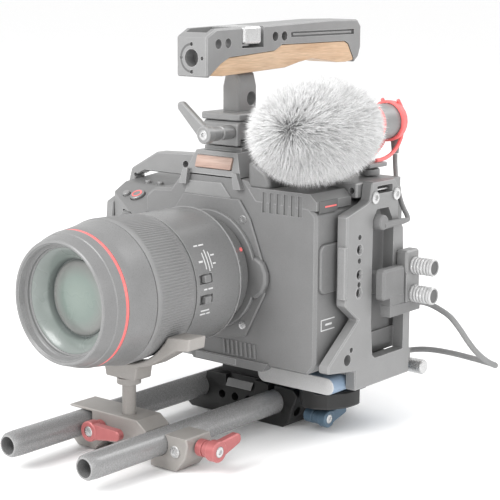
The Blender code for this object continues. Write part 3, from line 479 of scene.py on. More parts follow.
def paintFaces(piece, direction, limit, material):
    # the faces that look that way take a second finish
    mesh = piece.data
    mesh.materials.append(finish[material])
    normals = np.empty(len(mesh.polygons) * 3, np.float32)
    mesh.polygons.foreach_get("normal", normals)
    facing = normals.reshape(-1, 3) @ np.array(direction) > limit
    numbers = np.where(facing, len(mesh.materials) - 1, 0).astype(np.int32)
    mesh.polygons.foreach_set("material_index", numbers)


# the cords in millimetres, each a list of points from where it leaves the rig to its plug
cords = {
    "micCable": {
        "radius": 1.5, "replaces": "mic_cable", "stiffness": "limp", "plugs": ("mic_plug_piece",),
        "route": [(63.0, 45.6, 163.6), (63.4, 45.2, 158.6), (65.4, 43.0, 152.8), (69.2, 38.4, 148.4),
                  (74.0, 33.2, 145.2), (78.4, 27.8, 141.8), (82.6, 23.6, 138.2), (86.6, 20.8, 134.4),
                  (89.6, 19.6, 131.2), (91.2, 18.2, 128.9), (91.0, 14.8, 128.4)]},
    "driveCable": {
        "radius": 1.8, "replaces": "drive_cable", "stiffness": "medium", "plugs": ("drive_plug_piece",),
        "route": [(92.5, 30.0, 75.8), (93.2, 34.0, 75.4), (97.2, 37.4, 73.8), (103.6, 39.0, 71.0),
                  (110.0, 39.8, 67.4), (116.4, 40.4, 61.0), (121.6, 42.0, 53.6), (126.8, 44.4, 46.8),
                  (131.2, 49.4, 41.2), (132.4, 56.4, 37.6), (128.6, 62.4, 36.0), (120.6, 65.4, 35.8),
                  (110.0, 65.6, 36.6), (97.0, 64.6, 37.6), (84.0, 62.6, 38.0), (73.6, 59.4, 37.2),
                  (65.6, 53.6, 35.6), (61.2, 47.2, 34.4), (60.0, 41.0, 34.2)]},
}


def smoothRoute(knots, steps=10):
    # a Catmull-Rom curve: each span is a cubic through its two knots with slopes from their neighbours
    knots = np.array(knots, float)
    knots = np.vstack([2 * knots[0] - knots[1], knots, 2 * knots[-1] - knots[-2]])
    a, b, c, d = (knots[i:len(knots) - 3 + i, None, :] for i in range(4))
    t = (np.arange(steps) / steps)[None, :, None]
    line = 0.5 * (2 * b + (c - a) * t + (2 * a - 5 * b + 4 * c - d) * t ** 2
                  + (3 * b - a - 3 * c + d) * t ** 3)
    return np.vstack([line.reshape(-1, 3), knots[-2]])


def layCord(name, facts):
    # a round curve along the smoothed route, whose length and start are kept in its facts
    line = smoothRoute(facts["route"]) * mm
    data = bpy.data.curves.new(name, "CURVE")
    data.dimensions = "3D"
    data.bevel_depth = facts["radius"] * mm
    data.bevel_resolution = 6
    data.use_fill_caps = True
    spline = data.splines.new("POLY")
    spline.points.add(len(line) - 1)
    spline.points.foreach_set("co", np.column_stack([line, np.ones(len(line))]).reshape(-1))
    spline.use_smooth = True
    data.materials.append(finish["cordGrey"])
    cord = showPiece(name, data, "root")
    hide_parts(facts["replaces"])
    facts["length"] = float(np.linalg.norm(np.diff(line, axis=0), axis=1).sum())
    facts["exit"] = line[0].tolist()
    return cord


cordPieces = {name: layCord(name, facts) for name, facts in cords.items()}
print("cords laid:", {name: round(facts["length"], 4) for name, facts in cords.items()})

# solids that keep their shape, each with its finish and the width of its softened edges
keptShapes = {
    "rod_left": ("rodGrey", 0.0), "rod_right": ("rodGrey", 0.0), "cage_bottom": ("bodyGrey", 0.5),
    "cage_left_side": ("bodyGrey", 0.5), "cage_right_side": ("bodyGrey", 0.45),
    "cage_top": ("bodyGrey", 0.4), "hood": ("bodyGrey", 0.4), "nato_clamp": ("bodyGrey", 0.4),
    "nato_lever": ("bodyGrey", 0.3), "handle_post": ("bodyGrey", 0.4), "handle_frame": ("bodyGrey", 0.35),
    "cable_clamp": ("bodyGrey", 0.4), "mic_mount_foot": ("bodyGrey", 0.3), "shoe_knob": ("bodyGrey", 0.3),
    "camera_shell": ("cameraGrey", 0.5), "camera_back": ("cameraGrey", 0.5),
    "mount_plate": ("cameraGrey", 0.3), "grip_shell": ("cameraGrey", 0.5),
    "battery_door": ("cameraGrey", 0.4), "battery": ("deepGrey", 0.4), "image_sensor": ("panelGlass", 0.2),
    "rear_screen": ("cameraGrey", 0.5), "iso_button": ("bodyGrey", 0.2),
    "shutter_button": ("bodyGrey", 0.2),
    "stills_button": ("bodyGrey", 0.2), "record_button": ("steelDark", 0.3),
    "lens_rear_barrel": ("lensGrey", 0.2), "focus_mode_switch": ("lensGrey", 0.5),
    "focus_limit_switch": ("lensGrey", 0.5), "microphone": ("bodyGrey", 0.2),
    "mic_lyre": ("softRed", 0.3), "mic_strain_relief": ("rubberGrey", 0.2), "mic_plug": ("rubberGrey", 0.3),
    "usb_plug": ("rubberGrey", 0.4), "drive_plug": ("rubberGrey", 0.3), "baseplate": ("blackSatin", 0.5),
    "drive_shelf": ("blackSatin", 0.4), "support_base": ("warmGrey", 0.5), "support_jaw": ("warmGrey", 0.5),
    "support_post": ("warmGrey", 0.2), "lens_cradle": ("warmGrey", 0.5), "hex_key": ("steel", 0.15),
    "handle_lock": ("steel", 0.35), "handle_grip": ("handleWood", 0.9), "wood_inlay": ("insertWood", 0.3),
    "portable_drive": ("driveBlue", 0.5), "baseplate_lever": ("leverSlate", 0.35),
    "support_lever_left": ("leverRed", 0.35), "support_lever_right": ("leverRed", 0.35),
}
# edges that get a larger rounding: the box they lie in and its radius
rounded = {
    "handle_frame": [((-13, -80, 213), (13, -50, 218), 4.5)],
    "camera_shell": [((70, -60, 40), (80, -50, 152), 5.0)],
}
kept = {}
for node, (material, bevel) in keptShapes.items():
    kept[node] = polish(node, material, bevel, rounds=rounded.get(node, ()))
paintFaces(kept["portable_drive"], (0, -1, 0), 0.6, "drivePale")
print("softened solids:", len(keptShapes))

# the lens in millimetres: its ribs, where they lie, how fast they fade and above what radius; every
# profile is a list of (distance along the lens axis, radius)
lens = {
    "ribs": 150, "ribDepth": 0.5, "ribbed": (-146.6, -119.4), "fade": 0.6, "inner": 36, "sides": 192,
    "frontOuter": [(-149.5, 41.0), (-150.2, 41.3), (-152, 40.9), (-157.5, 39.9), (-162, 39.3),
                   (-168.2, 38.6), (-168.5, 38.4), (-168.5, 36.6), (-170.8, 36.6), (-170.8, 38.2),
                   (-171.2, 38.4), (-174, 37.7), (-176, 37.1), (-176.3, 36.7), (-176.9, 36.5),
                   (-182, 35.2), (-183.6, 34.4), (-184, 33.8), (-184, 33.0), (-183.6, 32.6)],
    "frontInner": [(-178.6, 31.2), (-178.4, 30.4), (-176.8, 30.2), (-176.4, 29.5), (-160, 29.5),
                   (-160, 26.5), (-149.5, 26.5)],
    "redRing": [(-168.6, 36.7), (-168.6, 38.1), (-168.9, 38.35), (-170.4, 38.2), (-170.7, 37.9),
                (-170.7, 36.7)],
    "focusFront": [(-116, 39.4), (-116.4, 39.9), (-117, 40.3), (-119.3, 40.6)],
    "focusRear": [(-147.0, 41.9), (-148.6, 41.7), (-149.2, 41.2), (-149.2, 31.5), (-116, 31.5)],
    "mountRing": [(-57.8, 28), (-57.8, 36.2), (-58.2, 36.5), (-60.1, 36.5), (-60.5, 36.1), (-60.5, 28)],
    "rearRing": [(-72.6, 35), (-72.6, 36.8), (-73.2, 37.3), (-73.6, 37.5), (-76.8, 39.9),
                 (-77.4, 40.2), (-77.8, 39.9), (-77.8, 35)],
}


def ribbed(row, reach, radius, angle):
    # the radius dips by a rounded groove at each of the even ribs: a clipped cosine of the angle times
    # the number of ribs, fading out at the band's ends
    wave = np.clip(np.cos(angle * lens["ribs"]) * 1.6, -1, 1) * 0.5 - 0.5
    far, near = lens["ribbed"]
    inside = np.clip((reach - far) / lens["fade"], 0, 1) * np.clip((near - reach) / lens["fade"], 0, 1)
    return radius + wave * lens["ribDepth"] * inside * (radius > lens["inner"])


# filter threads, a short zigzag on a slight taper
threads = [(-183 + 0.5 * i, 32.0 + (0.28 if i % 2 else 0.0) - 0.02 * i) for i in range(9)]
turned("lensFrontBarrel", "Y", lensAxis, lens["frontOuter"] + threads + lens["frontInner"], "lensGrey",
       "root", slotOf["lens_front_barrel"], sides=lens["sides"], replaces=["lens_front_barrel"], angle=28)
turned("lensRedRing", "Y", lensAxis, lens["redRing"], "softRed", "root", "red_polymer", sides=128, angle=50)
focusBand = [(-119.6 - 27 * share, 40.75 + 1.15 * share) for share in np.linspace(0, 1, 14)]
turned("focusRing", "Y", lensAxis, lens["focusFront"] + focusBand + lens["focusRear"], "ribGrey", "focus",
       slotOf["focus_ring"], sides=lens["ribs"] * 8, replaces=["focus_ring"], angle=50, shape=ribbed)
glassOuter = [(-176.2 + 6.2 * share ** 1.5, 29.4 - 6.4 * share) for share in np.linspace(0, 1, 14)]
glassInner = [(-166.5 - 2.6 * math.cos(a), 21.4 * math.sin(a)) for a in np.linspace(np.pi / 2, 0, 24)]
glassBack, glassStep = [(-155, 0), (-155, 29.4)], [(-169.2, 22.6), (-166.5, 21.8)]
turned("lensGlassFront", "Y", lensAxis, glassBack + glassOuter + glassStep + glassInner, "lensGlass",
       "root", slotOf["lens_front_glass"], sides=128, loop=False, replaces=["lens_front_glass"], angle=40)
turned("lensMountRing", "Y", lensAxis, lens["mountRing"], "lensGrey", "root",
       slotOf["lens_rear_barrel"], sides=128)
print("lens made")

# the windshield in millimetres: its axis at x and z, its middle along y and its reach to each end, the
# pile's radius, the share of it where the skin lies, and the crown, the direction the hair parts from
fur = {"centre": (63, 185), "middle": -36.0, "radius": 33.4, "front": 43.0, "rear": 44.0, "fall": 2.3,
       "skin": 0.7, "skinShade": 0.35, "tufts": 2600, "crown": (0.42, -0.886, 0.2), "piles": 4,
       "hairs": 11900}
# how a hair grows: shares of the skin's normal and of the flow away from the crown, random scatter,
# sink, length, width, and how far it may be drawn to a tuft; its tones darken towards the root as painted
# shade of the pile, and each hair's are scaled at random above the palest
hair = {"normal": 0.8, "flow": 0.55, "scatter": 0.19, "sink": -0.06, "length": 11.0,
        "lengths": (0.55, 1.12), "width": 0.34, "gather": 0.4, "most": 3, "drop": 0.06, "batch": 2000,
        "along": (0, 0.4, 0.75), "widths": (1.0, 0.85, 0.5), "shadedTones": (0.2, 0.7, 1.0), "palest": 0.2}


def furRadius(y):
    # the radius times the root of one less the share of the way to that end, to the power of the fall
    away = y - fur["middle"]
    share = np.where(away < 0, -away / fur["front"], away / fur["rear"])
    return fur["radius"] * np.sqrt(np.clip(1 - np.clip(share, 0, 1) ** fur["fall"], 0, 1))


def onFur(y, angle, radius):
    # points round the windshield's axis
    x, z = fur["centre"]
    return np.stack([x + radius * np.cos(angle), y, z + radius * np.sin(angle)], -1)


def makeSkin():
    low, high = fur["middle"] - fur["front"] * 0.9, fur["middle"] + fur["rear"] * 0.97
    y = fur["middle"] + np.concatenate([-np.cos(np.linspace(0, np.pi / 2, 20)) * (fur["middle"] - low),
                                        np.sin(np.linspace(0, np.pi / 2, 24))[1:] * (high - fur["middle"])])
    pairs = [(y[0], 0)]
    pairs += [(value, max(1.0, float(furRadius(value)) * fur["skin"])) for value in y]
    pairs += [(y[-1], 0)]
    x, z = fur["centre"]
    skin = turned("furSkin", "Y", (x, 0, z), pairs, "fur", "root", "fur", sides=96, loop=False,
                  replaces=["fur_windshield"], angle=80)
    # the skin takes one low tone, painted shade under the hairs
    shadeAndTone = skin.data.attributes.new("shadeAndTone", "FLOAT", "POINT")
    shadeAndTone.data.foreach_set("value", np.full(len(skin.data.vertices), fur["skinShade"], np.float32))


def growHairs(y, angle, tuftTips):
    # a hair runs along root + s*outward*length + s*s*bend, where outward leans away from the crown, down,
    # and a little at random, and the bend takes its tip towards the nearest tuft's; returns its spine,
    # tip and outward way
    count = len(y)
    root = onFur(y, angle, furRadius(y) * (fur["skin"] - 0.02))
    slope = np.clip(furRadius(y + 0.5) - furRadius(y - 0.5), -6, 6)
    normal = np.stack([np.cos(angle), -slope, np.sin(angle)], -1)
    normal /= np.linalg.norm(normal, axis=1, keepdims=True)
    crown = np.array(fur["crown"]) / np.linalg.norm(fur["crown"])
    flow = (normal @ crown)[:, None] * normal - crown
    flow /= np.maximum(np.linalg.norm(flow, axis=1, keepdims=True), 0.25)
    scatter = draw.normal(0, hair["scatter"], (count, 3))
    outward = normal * hair["normal"] + flow * hair["flow"] + scatter + np.array([0, 0, hair["sink"]])
    outward /= np.linalg.norm(outward, axis=1, keepdims=True)
    length = hair["length"] * draw.uniform(*hair["lengths"], count)
    tip = root + outward * length[:, None]
    nearest = np.empty(count, int)
    for begin in range(0, count, hair["batch"]):
        part = slice(begin, begin + hair["batch"])
        nearest[part] = ((tip[part, None, :] - tuftTips[None]) ** 2).sum(-1).argmin(1)
    pull = np.clip(tuftTips[nearest] - tip, -hair["most"], hair["most"])
    tip = tip + pull * draw.uniform(0.0, hair["gather"], count)[:, None]
    tip[:, 2] -= hair["drop"] * length
    straight = outward * length[:, None] * 0.8
    bend = tip - root - straight
    share = np.array(hair["along"])[None, :, None]
    spine = root[:, None, :] + straight[:, None, :] * share + bend[:, None, :] * share ** 2
    return spine, tip, outward


def hairFaces(count):
    # a hair is three rings of three corners and a tip: a floor, two bands of triangles and a point
    pattern = [(2, 1, 0)]
    sides = ((0, 1), (1, 2), (2, 0))
    pattern += [(row + a, row + b, row + 3 + b) for row in (0, 3) for a, b in sides]
    pattern += [(row + a, row + 3 + b, row + 3 + a) for row in (0, 3) for a, b in sides]
    pattern += [(6, 7, 9), (7, 8, 9), (8, 6, 9)]
    return (np.array(pattern)[None] + 10 * np.arange(count)[:, None, None]).reshape(-1, 3)


def makeHairs(name, y, angle, tuftTips):
    # each spine gets rings of three corners, centre + width/2 * (cos*side + sin*other), that narrow to
    # the tip, and a tone that rises along the hair, its darker root painted shade of the pile
    count = len(y)
    spine, tip, outward = growHairs(y, angle, tuftTips)
    around = np.stack([-np.sin(angle), np.zeros(count), np.cos(angle)], -1)
    side = np.cross(outward, around + 0.01)
    side /= np.linalg.norm(side, axis=1, keepdims=True)
    other = np.cross(outward, side)
    turn = draw.uniform(0, 2 * np.pi, count)[:, None] + np.array([0, 2 * np.pi / 3, 4 * np.pi / 3])[None, :]
    ring = np.cos(turn)[..., None] * side[:, None, :] + np.sin(turn)[..., None] * other[:, None, :]
    width = hair["width"] * np.array(hair["widths"])[None, :, None, None] / 2
    rings = spine[:, :, None, :] + ring[:, None, :, :] * width
    points = np.concatenate([rings.reshape(count, 9, 3), tip[:, None, :]], 1)
    faces = hairFaces(count)
    ends = np.append(np.repeat(hair["shadedTones"], 3), hair["shadedTones"][-1])[None]
    shadedTones = draw.uniform(hair["palest"], 1.0, count)[:, None] ** 0.5 * ends
    mesh = bpy.data.meshes.new(name)
    mesh.vertices.add(count * 10)
    mesh.vertices.foreach_set("co", (points * mm).astype(np.float32).reshape(-1))
    mesh.loops.add(len(faces) * 3)
    mesh.loops.foreach_set("vertex_index", faces.astype(np.int32).reshape(-1))
    mesh.polygons.add(len(faces))
    mesh.polygons.foreach_set("loop_start", np.arange(0, len(faces) * 3, 3, dtype=np.int32))
    mesh.update(calc_edges=True)
    shadeAndTone = mesh.attributes.new("shadeAndTone", "FLOAT", "POINT")
    shadeAndTone.data.foreach_set("value", shadedTones.astype(np.float32).reshape(-1))
    mesh.materials.append(finish["fur"])
    mesh.shade_smooth()
    showPiece(name, mesh, "root")


def placeTufts():
    y = draw.uniform(fur["middle"] - fur["front"], fur["middle"] + fur["rear"], fur["tufts"])
    angle = draw.uniform(0, 2 * np.pi, fur["tufts"])
    radius = np.maximum(furRadius(y), 2) * draw.uniform(0.97, 1.06, fur["tufts"])
    return onFur(y, angle, radius)


def placeHairs():
    # hairs spread evenly over the area: sorted draws of the running area give the places along y
    total = fur["hairs"] * fur["piles"]
    y = np.linspace(fur["middle"] - fur["front"] * 0.999, fur["middle"] + fur["rear"] * 0.98, 600)
    area = np.sqrt(1 + np.clip(np.gradient(furRadius(y), y), -9, 9) ** 2) * furRadius(y)
    area = np.concatenate([[0], np.cumsum((area[1:] + area[:-1]) / 2)])
    places = np.interp(np.sort(draw.uniform(0, area[-1], total)), area, y)
    return places, draw.uniform(0, 2 * np.pi, total)


makeSkin()
tufts = placeTufts()
places, turns = placeHairs()
for number in range(fur["piles"]):
    pile = slice(number * fur["hairs"], (number + 1) * fur["hairs"])
    makeHairs(f"furPile{number + 1}", places[pile], turns[pile], tufts)
print("fur combed")

# the cable clamp's thumbscrews in millimetres: shank from start to head, grip from head to end, its
# groove's pitch, and the ridges of its knurl
clampScrew = {"radius": 5.4, "shank": 2.4, "start": 89.0, "head": 95.0, "end": 111.0, "pitch": 2.2,
              "y": 18.6, "ridges": 18, "slant": 1.6, "depth": 0.28,
              "upper": ("clampScrewUpper", "clamp_thumbscrew_upper", 101.4),
              "lower": ("clampScrewLower", "clamp_thumbscrew_lower", 84.2)}


def knurl(row, reach, radius, angle):
    # crossed ridges: the smaller of two slanting waves, sines of the angle times the ridges plus and less
    # the distance along times the slant, on the grip's rows only
    first = np.abs(np.sin(angle * clampScrew["ridges"] + reach * clampScrew["slant"]))
    second = np.abs(np.sin(angle * clampScrew["ridges"] - reach * clampScrew["slant"]))
    inside = (radius > 5.0) * (row > 3) * (reach < clampScrew["end"] - 1.2)
    return radius - clampScrew["depth"] * np.minimum(first, second) * inside


def makeClampScrew(name, node, z):
    # round grooves follow each other along the grip, each the cube of a raised cosine
    start, head, end = clampScrew["start"], clampScrew["head"], clampScrew["end"]
    shank, centre = clampScrew["shank"], (0, clampScrew["y"], z)
    pairs = [(start, 0), (start, shank), (head - 0.4, shank), (head, 4.4)]
    for at in np.linspace(head + 0.6, end - 1.4, 40):
        groove = 0.5 * (0.5 - 0.5 * math.cos((at - head) * 2 * math.pi / clampScrew["pitch"])) ** 3
        pairs.append((at, clampScrew["radius"] - groove))
    pairs += [(end - 0.9, clampScrew["radius"]), (end, 4.9), (end, 4.3), (end - 0.7, 4.1), (end - 0.7, 0)]
    turned(name, "X", centre, pairs, "screwSteel", bodyOf[node], slotOf[node], sides=144, loop=False,
           shape=knurl, replaces=[node])
    face = [(end - 0.8, 0), (end - 0.8, 4.05), (end - 0.55, 4.0), (end - 0.5, 0)]
    turned(name + "Face", "X", centre, face, "deepGrey", bodyOf[node], slotOf[node], sides=48, loop=False)


makeClampScrew(*clampScrew["upper"])
makeClampScrew(*clampScrew["lower"])
polish("drive_thumbscrew", "steel", 0.25)

# screw heads: the way they face, their place, radius and height, and their body
front = (0, -1, 0)
screws = {
    "natoLeverScrew": (front, (8.6, -73.4, 181), 3.0, 1.0, "nato_lever_arm"),
    "leftClampScrew": (front, (-14, -148.1, 15), 3.0, 1.0, "left_clamp_lever"),
    "rightClampScrew": ("X", (66.4, -128, 14.6), 3.0, 1.0, "right_clamp_lever"),
    "plateLeverScrew": ("X", (66.8, -26, 9.6), 2.7, 0.9, "plate_lever"),
    "jawScrew": (front, (43.2, -138, 12.4), 3.4, 1.2, "lens_support"),
}
for number, y in enumerate((-12.6, 9.6)):
    screws[f"strapScrew{number + 1}"] = ("X", (88, y, 145.2), 3.6, 1.2, "root")
for number, (x, z) in enumerate(((-25, 131), (25, 131), (-25, 67), (25, 67))):
    screws[f"plateScrew{number + 1}"] = (front, (x, -57.4, z), 2.5, 0.5, "root")
for name, (axis, place, radius, height, body) in screws.items():
    capHead(name, axis, place, radius, height, body)
print("screws set")


def roundedBox(low, high, radius, steps=6):
    # the outline of a rectangle whose corners are quarter circles
    corners = [(high[0] - radius, high[1] - radius, 0), (low[0] + radius, high[1] - radius, 90),
               (low[0] + radius, low[1] + radius, 180), (high[0] - radius, low[1] + radius, 270)]
    turn = np.radians(np.linspace(0, 90, steps))
    return np.concatenate([np.stack([x + radius * np.cos(turn + math.radians(start)),
                                     y + radius * np.sin(turn + math.radians(start))], 1)
                           for x, y, start in corners])


# outlines as lowest corner, highest corner and corner radius, and where each lies along its axis
panels = {"doorGap": ((-53.4, 91.4), (-31, 121.6), 5), "doorGapAt": (77.0, 77.8),
          "door": ((-52.7, 92.1), (-31.6, 120.9), 4.5), "doorAt": (77.3, 79.2),
          "screen": ((-48.6, 59.6), (48.6, 126.4), 1.5), "screenAt": (41.2, 41.7)}
plate("portDoorGap", roundedBox(*panels["doorGap"]), *panels["doorGapAt"], "deepGrey", "root",
      slotOf["port_door"], axis="X", bevel=0)
plate("portDoor", roundedBox(*panels["door"]), *panels["doorAt"], "cameraGrey", "root",
      slotOf["port_door"], axis="X", bevel=0.5, replaces=["port_door"])
plate("screenGlass", roundedBox(*panels["screen"]), *panels["screenAt"], "panelGlass", "screen",
      slotOf["rear_screen"], bevel=0.15)

backButtons = {"columns": (-62.5, -67.5), "y": 17.2, "top": 118, "step": 12, "count": 5,
               "profile": [(0, 0), (0, 3), (3.1, 3), (3.6, 2.5), (3.6, 0)]}
for number in range(backButtons["count"]):
    height = backButtons["top"] - backButtons["step"] * number
    place = (backButtons["columns"][number % 2], backButtons["y"], height)
    turned(f"backButton{number + 1}", "Y", place, backButtons["profile"], "deepGrey", "root",
           slotOf["grip_shell"], sides=32, loop=False)

# pale marks on the lens: y from and to, then tilt up from the right side in degrees, from and to
scaleMarks = {"radius": 40.2, "sink": 0.1, "thick": 0.14, "steps": 8,
              "marks": [(-106.1, -105.5, 17, 31), (-103.6, -103.0, 15, 33), (-101.1, -100.5, 17, 31),
                        (-109.5, -106.5, 37, 38.2), (-105.4, -101.5, 37, 38.2), (-110.6, -107.4, 23, 24.6),
                        (-99.4, -96.5, 27, 28.2), (-99.4, -97.2, 20, 21.2), (-110, -107.4, 0.6, 1.8),
                        (-106.4, -102.6, 0.6, 1.8), (-111, -104, -17.4, -16.2),
                        (-111, -106.5, -20.6, -19.4), (-105.6, -102.6, -20.6, -19.4)]}


def barrelMarks(name, marks, radius, material, body, slot):
    # each mark is a small patch of a cylinder shell round the lens: (radius*cos tilt, y, radius*sin tilt)
    points, faces = [], []
    steps, ring = scaleMarks["steps"], [0, 1, 3, 2]
    for number, (low, high, first, last) in enumerate(marks):
        tilt = np.radians(np.linspace(first, last, steps + 1))[:, None, None]
        out = np.array([radius - scaleMarks["sink"], radius + scaleMarks["thick"]])[None, :, None]
        y = np.array([low, high])[None, None, :]
        grid = np.stack([out * np.cos(tilt) + 0 * y, y + 0 * out * tilt,
                         lensAxis[2] + out * np.sin(tilt) + 0 * y], -1)
        points.append(grid.reshape(-1, 3))
        base = number * 4 * (steps + 1)
        for step in range(steps):
            a, b = base + step * 4, base + step * 4 + 4
            faces += [(a + ring[i], a + ring[(i + 1) % 4], b + ring[(i + 1) % 4], b + ring[i])
                      for i in range(4)]
        faces += [tuple(base + i for i in ring), tuple(base + 4 * steps + i for i in ring[::-1])]
    return putPiece(name, np.concatenate(points), faces, body, slot, material)


barrelMarks("lensScaleMarks", scaleMarks["marks"], scaleMarks["radius"], "paleMark", "root",
            slotOf["lens_rear_barrel"])

# the mounting dot: its tilt up from the right side in degrees, its distance from the lens axis and y
dot = {"tilt": math.radians(28.4), "radius": 34.1, "y": -66,
       "profile": [(0, 0), (0, 1.3), (0.7, 1.25), (1.0, 0.9), (1.1, 0)]}
dotOut = (math.cos(dot["tilt"]), 0, math.sin(dot["tilt"]))
turned("mountDot", dotOut, (dot["radius"] * dotOut[0], dot["y"], lensAxis[2] + dot["radius"] * dotOut[2]),
       dot["profile"], "softRed", "root", "red_polymer", sides=24, loop=False)


def mountGrip(row, reach, radius, angle):
    # shallow flats cut where the cosine of sixty times the angle is high, on the ring's middle rows
    return radius - 0.45 * (np.cos(angle * 60) > 0.1) * ((row >= 3) & (row <= 4))


turned("lensRearRing", "Y", lensAxis, lens["rearRing"], "lensGrey", "root", slotOf["lens_rear_barrel"],
       sides=360, shape=mountGrip)

# the record button's ring lies on the sloping shoulder: its slope in radians, foot and height above it
button = {"slope": 0.477, "foot": (-74.8, -41.5, 133.56), "height": 1.8,
          "profile": [(0, 2.5), (0, 3.5), (0.25, 3.4), (0.3, 3.0), (0.25, 2.6)]}
slopeSin, slopeCos = math.sin(button["slope"]), math.cos(button["slope"])
ringPlace = (button["foot"][0], button["foot"][1] - button["height"] * slopeSin,
             button["foot"][2] + button["height"] * slopeCos)
turned("recordRing", (0, -slopeSin, slopeCos), ringPlace, button["profile"], "softRed", "record",
       "red_polymer", sides=40)

# small plates: the outline across y, where it starts and ends along y, finish, slot and bevel
frontPlates = {
    "frontBadge": ([(-23.1, 139.8), (-18.6, 150.6), (7.2, 151.2), (14.6, 142.6)], -56.4, -55.3,
                   "bodyGrey", "camera_shell", 0.4),
    "lensRelease": ([(30, 86.5), (31, 108), (36, 110), (41.4, 107.4), (44.4, 101), (44.4, 95),
                     (41.8, 89.4), (36, 84.8)], -60.6, -56, "cameraGrey", "mount_plate", 1.4),
    "lipPlate": ([(-12, 41.4), (20, 41.4), (20, 45.2), (-12, 45.2)], -57.45, -57.0, "bodyGrey",
                 "camera_shell", 0.1),
}
lowerFins = {"first": 9, "step": 3.4, "count": 8, "low": 47.4, "high": 56}
for number in range(lowerFins["count"]):
    x, low, high = lowerFins["first"] + lowerFins["step"] * number, lowerFins["low"], lowerFins["high"]
    frontPlates[f"lowerFin{number + 1}"] = ([(x, low), (x + 1.5, low), (x + 0.7, high), (x - 0.8, high)],
                                            -56.5, -55.2, "cameraGrey", "camera_shell", 0.2)
frontPlates["baseLabel"] = ([(-8, 18.6), (12, 18.6), (14, 24), (-6, 24)], -33.5, -32.7, "bodyGrey",
                            "baseplate", 0.2)
for name, (outline, low, high, material, node, bevel) in frontPlates.items():
    plate(name, outline, low, high, material, "root", slotOf[node], bevel=bevel)

block("ventBack", (37.6, -54.5, 136.2), (67.6, -53.2, 148.6), "cameraGrey", "root",
      slotOf["camera_shell"], bevel=0)
block("strapBarFront", (83.6, -8.6, 148.2), (85.4, 4.8, 149.6), "steel", "root", "plain_steel", bevel=0.4)
block("postStrip", (83.4, -42.6, 88.6), (88.5, -39.7, 119.3), "bodyGrey", "root",
      slotOf["cage_right_side"], bevel=0.5)
hump = [(25.2, 149), (41.5, 149), (42, 154), (38.6, 159.4), (31, 164.2), (25.2, 165.4)]
plate("humpSide", hump, -53.6, -24, "cameraGrey", "root", slotOf["camera_shell"], bevel=2.2)

dial = {"teeth": 26, "depth": 0.7, "place": (0, -47.7, 119.5),
        "profile": [(-80, 0), (-80, 4.6), (-79.5, 5.6), (-68.5, 5.6), (-68, 4.6), (-68, 0)]}


def toothed(row, reach, radius, angle):
    # even rounded teeth: the radius dips by a raised cosine of the angle times the number of teeth
    return radius - dial["depth"] * (0.5 - 0.5 * np.cos(angle * dial["teeth"])) * (radius > 5)


turned("controlDial", "X", dial["place"], dial["profile"], "lensGrey", "dial", slotOf["control_dial"],
       sides=dial["teeth"] * 8, loop=False, shape=toothed, replaces=["control_dial"])
block("tallyPanel", (77.0, -53, 139.4), (77.9, -35.5, 146.4), "deepGrey", "root", slotOf["camera_shell"])
block("tallyLine", (77.7, -48, 142.4), (78.1, -37, 143.3), "softRed", "root", "red_polymer", bevel=0.1)

# the side badge's bars: their lowest and highest corners in y and z, between two distances along x
sideBadge = {"Top": ((-50, 76.0), (-36.6, 76.6)), "Bottom": ((-50, 69.8), (-36.6, 70.4)),
             "Front": ((-50, 70.4), (-49.4, 76.0)), "Middle": ((-45.6, 72.6), (-39.4, 73.8))}
for name, (low, high) in sideBadge.items():
    block("sideBadge" + name, (77.3, *low), (77.68, *high), "paleMark", "root", slotOf["camera_shell"],
          bevel=0.05)

# a dark arc on the handle's face, painted shade standing for an arc groove: radii, height of its centre and
# its sweep in degrees
groove = {"radii": (8.6, 7.4), "height": 225.4, "sweep": (96, 264)}
sweep = np.radians(np.linspace(*groove["sweep"], 24))
outerArc, innerArc = (np.stack([radius * np.cos(sweep), groove["height"] + radius * np.sin(sweep)], 1)
                      for radius in groove["radii"])
plate("handleArcGrooveShade", np.concatenate([outerArc, innerArc[::-1]]), -74.78, -74.2, "deepGrey", "handle",
      slotOf["handle_frame"], bevel=0)

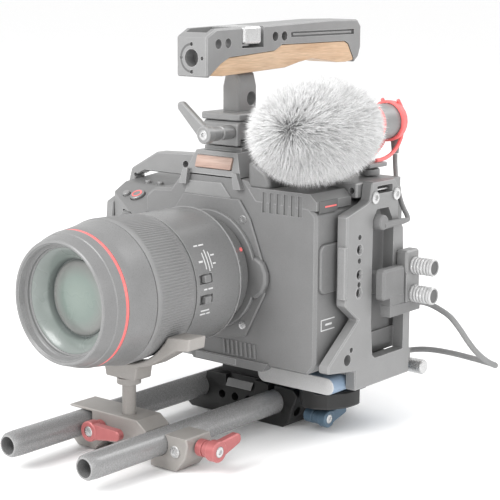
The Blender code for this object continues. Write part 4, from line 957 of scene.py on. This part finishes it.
inserts = {"heights": (116.2, 101.4, 90.4), "y": -27, "radius": 3.4}
for number, z in enumerate(inserts["heights"]):
    radius = inserts["radius"]
    pairs = [(86.2, radius - 0.02), (87.9, radius - 0.02), (88.0, radius - 0.5), (87.4, radius - 0.9),
             (86.9, radius - 0.5), (86.2, radius - 0.9)]
    turned(f"cageInsert{number + 1}", "X", (0, inserts["y"], z), pairs, "steelDark", "root",
           slotOf["cage_right_side"], sides=48)
block("slotBar", (9.0, 8, 236.2), (10.9, 70, 237.5), "bodyGrey", "handle", slotOf["handle_frame"])
cuff = [(3, 10.9), (3, 13.2), (8, 14.4), (13, 14.2), (15.4, 13.2), (16, 12.2), (16, 10.9)]
turned("micCuff", "Y", (fur["centre"][0], 0, fur["centre"][1]), cuff, "softRed", "root", "red_polymer",
       sides=64)
print("marks and small parts made")

# the stage in metres: half the floor's side, and lamps with their place, size and power in watts
floor = {"reach": 60.0, "patch": 3, "colours": (grey(254), grey(253)), "rough": 0.9}
lamps = {
    "key": {"place": (-0.3, -1.5, 1.3), "size": 1.0, "power": 30},
    "fill": {"place": (1.5, -0.7, 0.8), "size": 1.2, "power": 7},
    "rim": {"place": (0.6, 1.1, 1.3), "size": 1.0, "power": 10},
}
lampAim = (0, -0.04, 0.12)


def makeStage():
    reach = floor["reach"]
    corners = [(-reach, -reach, 0), (reach, -reach, 0), (reach, reach, 0), (-reach, reach, 0)]
    mesh = bpy.data.meshes.new("floor")
    mesh.from_pydata(corners, [], [(0, 1, 2, 3)])
    material, tree, shader, place = startMaterial("paleFloor")
    mottle = stretchedNoise(tree, place, floor["patch"], 2)
    tree.links.new(mixColours(tree, mottle, *floor["colours"]), shader.inputs["Base Color"])
    shader.inputs["Roughness"].default_value = floor["rough"]
    mesh.materials.append(material)
    plane = bpy.data.objects.new("floor", mesh)
    bpy.context.scene.collection.objects.link(plane)


def makeLight():
    for name, facts in lamps.items():
        data = bpy.data.lights.new(name, "AREA")
        data.size = facts["size"]
        data.energy = facts["power"]
        lamp = bpy.data.objects.new(name, data)
        bpy.context.scene.collection.objects.link(lamp)
        lamp.location = facts["place"]
        aim = Vector(lampAim) - lamp.location
        lamp.rotation_euler = aim.to_track_quat("-Z", "Y").to_euler()
    world = bpy.data.worlds.new("studio")
    world.use_nodes = True
    world.node_tree.nodes["Background"].inputs["Color"].default_value = (1, 1, 1, 1)
    world.node_tree.nodes["Background"].inputs["Strength"].default_value = 1.0
    bpy.context.scene.world = world
    bpy.context.scene.view_settings.view_transform = "Standard"


makeStage()
makeLight()
print("stage set")
